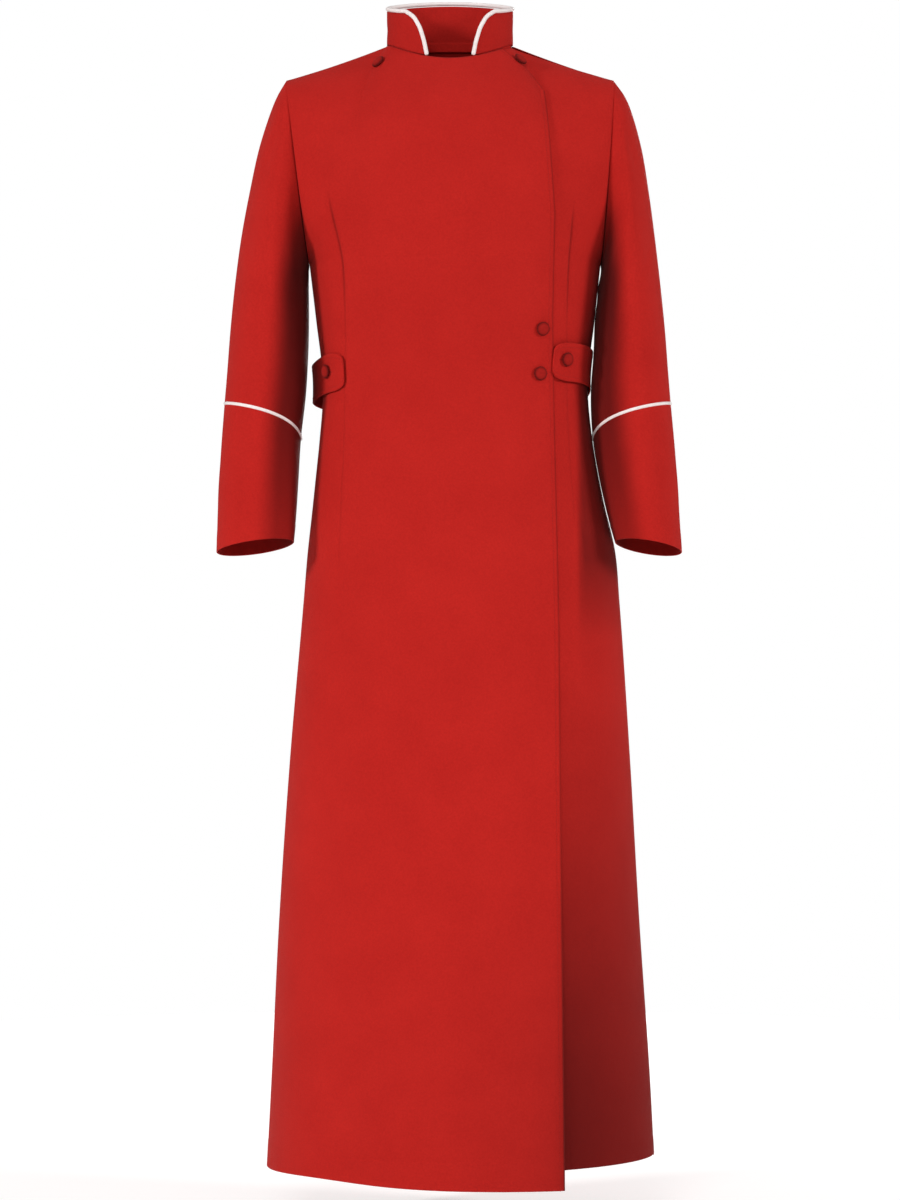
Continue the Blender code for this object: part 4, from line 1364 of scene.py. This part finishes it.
# Worked slits, and the way along x that each runs from its button
HOLE_WAYS = {"waist_upper": 1.0, "waist_lower": 1.0, "belt_right": 1.0, "belt_left": -1.0}
HOLE_LENGTH = 13.0
HOLE_WIDTH = 1.5
HOLE_LIFT = 0.12
HOLE_START = 0.8
HOLE_STEPS = 48
HOLE_STITCH = 0.0009
HOLE_GAP = -0.0002


def covered_button(name, middle, way, radius, height, materials):
    """A covered button on its shank, standing on a point and facing a direction."""
    turn = Vector(way).to_track_quat("Z", "Y").to_matrix()
    build = bmesh.new()
    uv = build.loops.layers.uv.new("UVMap")
    rings = []
    for share, rise in BUTTON_PROFILE[1:]:
        pucker = PUCKER_DEPTH * smooth_step(1 - rise, *PUCKER_SPAN)
        ring = []
        for i in range(BUTTON_SIDES):
            angle = 2 * math.pi * i / BUTTON_SIDES
            reach = radius * share * (1 - pucker * (1 + math.cos(PUCKERS * angle)))
            ring.append(build.verts.new((reach * math.cos(angle), reach * math.sin(angle), height * rise)))
        rings.append(ring)
    top = build.verts.new((0, 0, height * BUTTON_PROFILE[0][1]))
    bottom = build.verts.new((0, 0, 0))
    for ring, tip in ((rings[0], top), (rings[-1], bottom)):
        for i in range(BUTTON_SIDES):
            build.faces.new([ring[i], ring[(i + 1) % BUTTON_SIDES], tip])
    for ring, below in zip(rings[:-1], rings[1:]):
        for i in range(BUTTON_SIDES):
            j = (i + 1) % BUTTON_SIDES
            build.faces.new([ring[i], below[i], below[j], ring[j]])
    shank = bmesh.ops.create_cone(
        build,
        segments=SHANK_SIDES,
        cap_ends=True,
        radius1=SHANK_RADIUS * SHANK_FOOT * MM,
        radius2=SHANK_RADIUS * MM,
        depth=SHANK_LENGTH * MM,
    )
    for vert in shank["verts"]:
        vert.co.z -= SHANK_LENGTH / 2 * MM
        for face in vert.link_faces:
            face.material_index = 1
    for face in build.faces:
        for loop in face.loops:
            loop[uv].uv = loop.vert.co.xy
    bmesh.ops.recalc_face_normals(build, faces=build.faces)
    bmesh.ops.transform(build, matrix=turn.to_4x4(), verts=build.verts)
    bmesh.ops.translate(build, vec=Vector(middle), verts=build.verts)
    mesh = bpy.data.meshes.new(name)
    build.to_mesh(mesh)
    build.free()
    mesh.shade_smooth()
    # Painted shade, deepening from the top down to the rim and the back
    rises = np.array([(vert.co - Vector(middle)).dot(Vector(way)) for vert in mesh.vertices]) / height
    painted_shades = BUTTON_SHADE[0] + (BUTTON_SHADE[1] - BUTTON_SHADE[0]) * smooth_step(1 - rises, *BUTTON_SHADE_SPAN)
    mesh.attributes.new("painted_shade_amount", "FLOAT", "POINT").data.foreach_set("value", painted_shades)
    for material in materials:
        mesh.materials.append(material)
    return add_object(name, mesh)


def buttonhole(points, normals, middle, way):
    """A narrow loop of points that lies on a grid, round the slit that a button goes through."""
    spots, outs = points.reshape(-1, 3), normals.reshape(-1, 3)
    place = np.argmin(np.linalg.norm(spots - middle, axis=1))
    along = unit(way - np.dot(way, outs[place]) * outs[place])
    aside = np.cross(outs[place], along)
    loop = []
    for turn in np.linspace(0, 2 * math.pi, HOLE_STEPS + 1):
        reach = along * HOLE_LENGTH / 2 * (HOLE_START + math.cos(turn))
        reach = reach + aside * HOLE_WIDTH / 2 * math.sin(turn)
        near = np.argmin(np.linalg.norm(spots - middle - reach, axis=1))
        away = np.dot(middle + reach - spots[near], outs[near])
        loop.append(middle + reach + (HOLE_LIFT - away) * outs[near])
    return loop


holes = {"front_overlap": [], "belt": []}
for button_name in BUTTONS:
    node = "button_" + button_name
    spots = np.array([vert.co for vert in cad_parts[node].data.vertices])
    centre = spots.mean(axis=0)
    _, _, ways = np.linalg.svd(spots - centre)
    way = ways[2] * math.copysign(1, -ways[2][1])
    heights_here = (spots - centre) @ way
    sideways = np.linalg.norm(spots - centre - np.outer(heights_here, way), axis=1)
    button = covered_button(
        node + "_covered",
        centre + way * heights_here.min(),
        way,
        sideways.max(),
        np.ptp(heights_here),
        (FACE_CLOTH, RED_THREAD),
    )
    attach(button, "root")
    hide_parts(node)
    if button_name in HOLE_WAYS:
        holder = "belt" if button_name.startswith("belt") else "front_overlap"
        grid = (belt_face, belt_normals) if holder == "belt" else (overlap_face, overlap_normals)
        hole_way = np.array((HOLE_WAYS[button_name], 0.0, 0.0))
        holes[holder].append(buttonhole(*grid, centre / MM, hole_way))
for holder, loops in holes.items():
    sew(holder + "_buttonholes", loops, HOLE_STITCH, HOLE_GAP)


# The room
#
# A pale round floor that is lit from below, and soft studio light in a white room.
FLOOR_Z = -1.54
FLOOR_RADIUS = 2.4
FLOOR_SIDES = 96
FLOOR_FINISH = {
    "Base Color": (0.90, 0.90, 0.89, 1.0),
    "Roughness": 0.9,
    "Emission Color": (1.0, 1.0, 1.0, 1.0),
    "Emission Strength": 0.24,
}

# Round lamps: name, place, size and power
LIGHT_ROWS = (
    ("key_left", (-4.2, -2.6, 1.0), 0.8, 135),
    ("key_right", (4.4, -1.9, 1.0), 1.2, 112),
    ("front_fill", (-0.6, -5.0, 0.9), 1.6, 70),
    ("back_fill", (0.8, 4.8, 0.5), 1.6, 150),
    ("top", (0.0, -1.6, 2.6), 1.6, 14),
)
LIGHT_AIM = (0.0, 0.0, -0.7)
ROOM_LIGHT = 0.22
ROOM_WHITE = 1.0

floor_mesh = bpy.data.meshes.new("studio_floor")
turns = [2 * math.pi * step / FLOOR_SIDES for step in range(FLOOR_SIDES)]
rim = [(FLOOR_RADIUS * math.cos(turn), FLOOR_RADIUS * math.sin(turn), FLOOR_Z) for turn in turns]
floor_mesh.from_pydata(rim, [], [tuple(range(FLOOR_SIDES))])
floor_mesh.materials.append(new_material("pale_floor", FLOOR_FINISH)[0])
floor = add_object("studio_floor", floor_mesh)

for name, place, size, power in LIGHT_ROWS:
    light_data = bpy.data.lights.new(name, "AREA")
    light_data.shape = "DISK"
    light_data.size = size
    light_data.energy = power
    light = add_object(name, light_data)
    light.location = place
    light.rotation_euler = (Vector(LIGHT_AIM) - Vector(place)).to_track_quat("-Z", "Y").to_euler()
    light.visible_camera = False

# The room looks white, and lights the garment only a little
world = bpy.data.worlds.new("studio_world")
world.use_nodes = True
background = world.node_tree.nodes["Background"].inputs
seen = add_node(world.node_tree, "ShaderNodeLightPath", {}).outputs["Is Camera Ray"]
strength = {"Value": seen, "To Min": ROOM_LIGHT, "To Max": ROOM_WHITE}
strength = add_node(world.node_tree, "ShaderNodeMapRange", strength).outputs["Result"]
world.node_tree.links.new(strength, background["Strength"])
background["Color"].default_value = (1.0, 1.0, 1.0, 1.0)
bpy.context.scene.world = world
bpy.context.scene.view_settings.view_transform = "Standard"
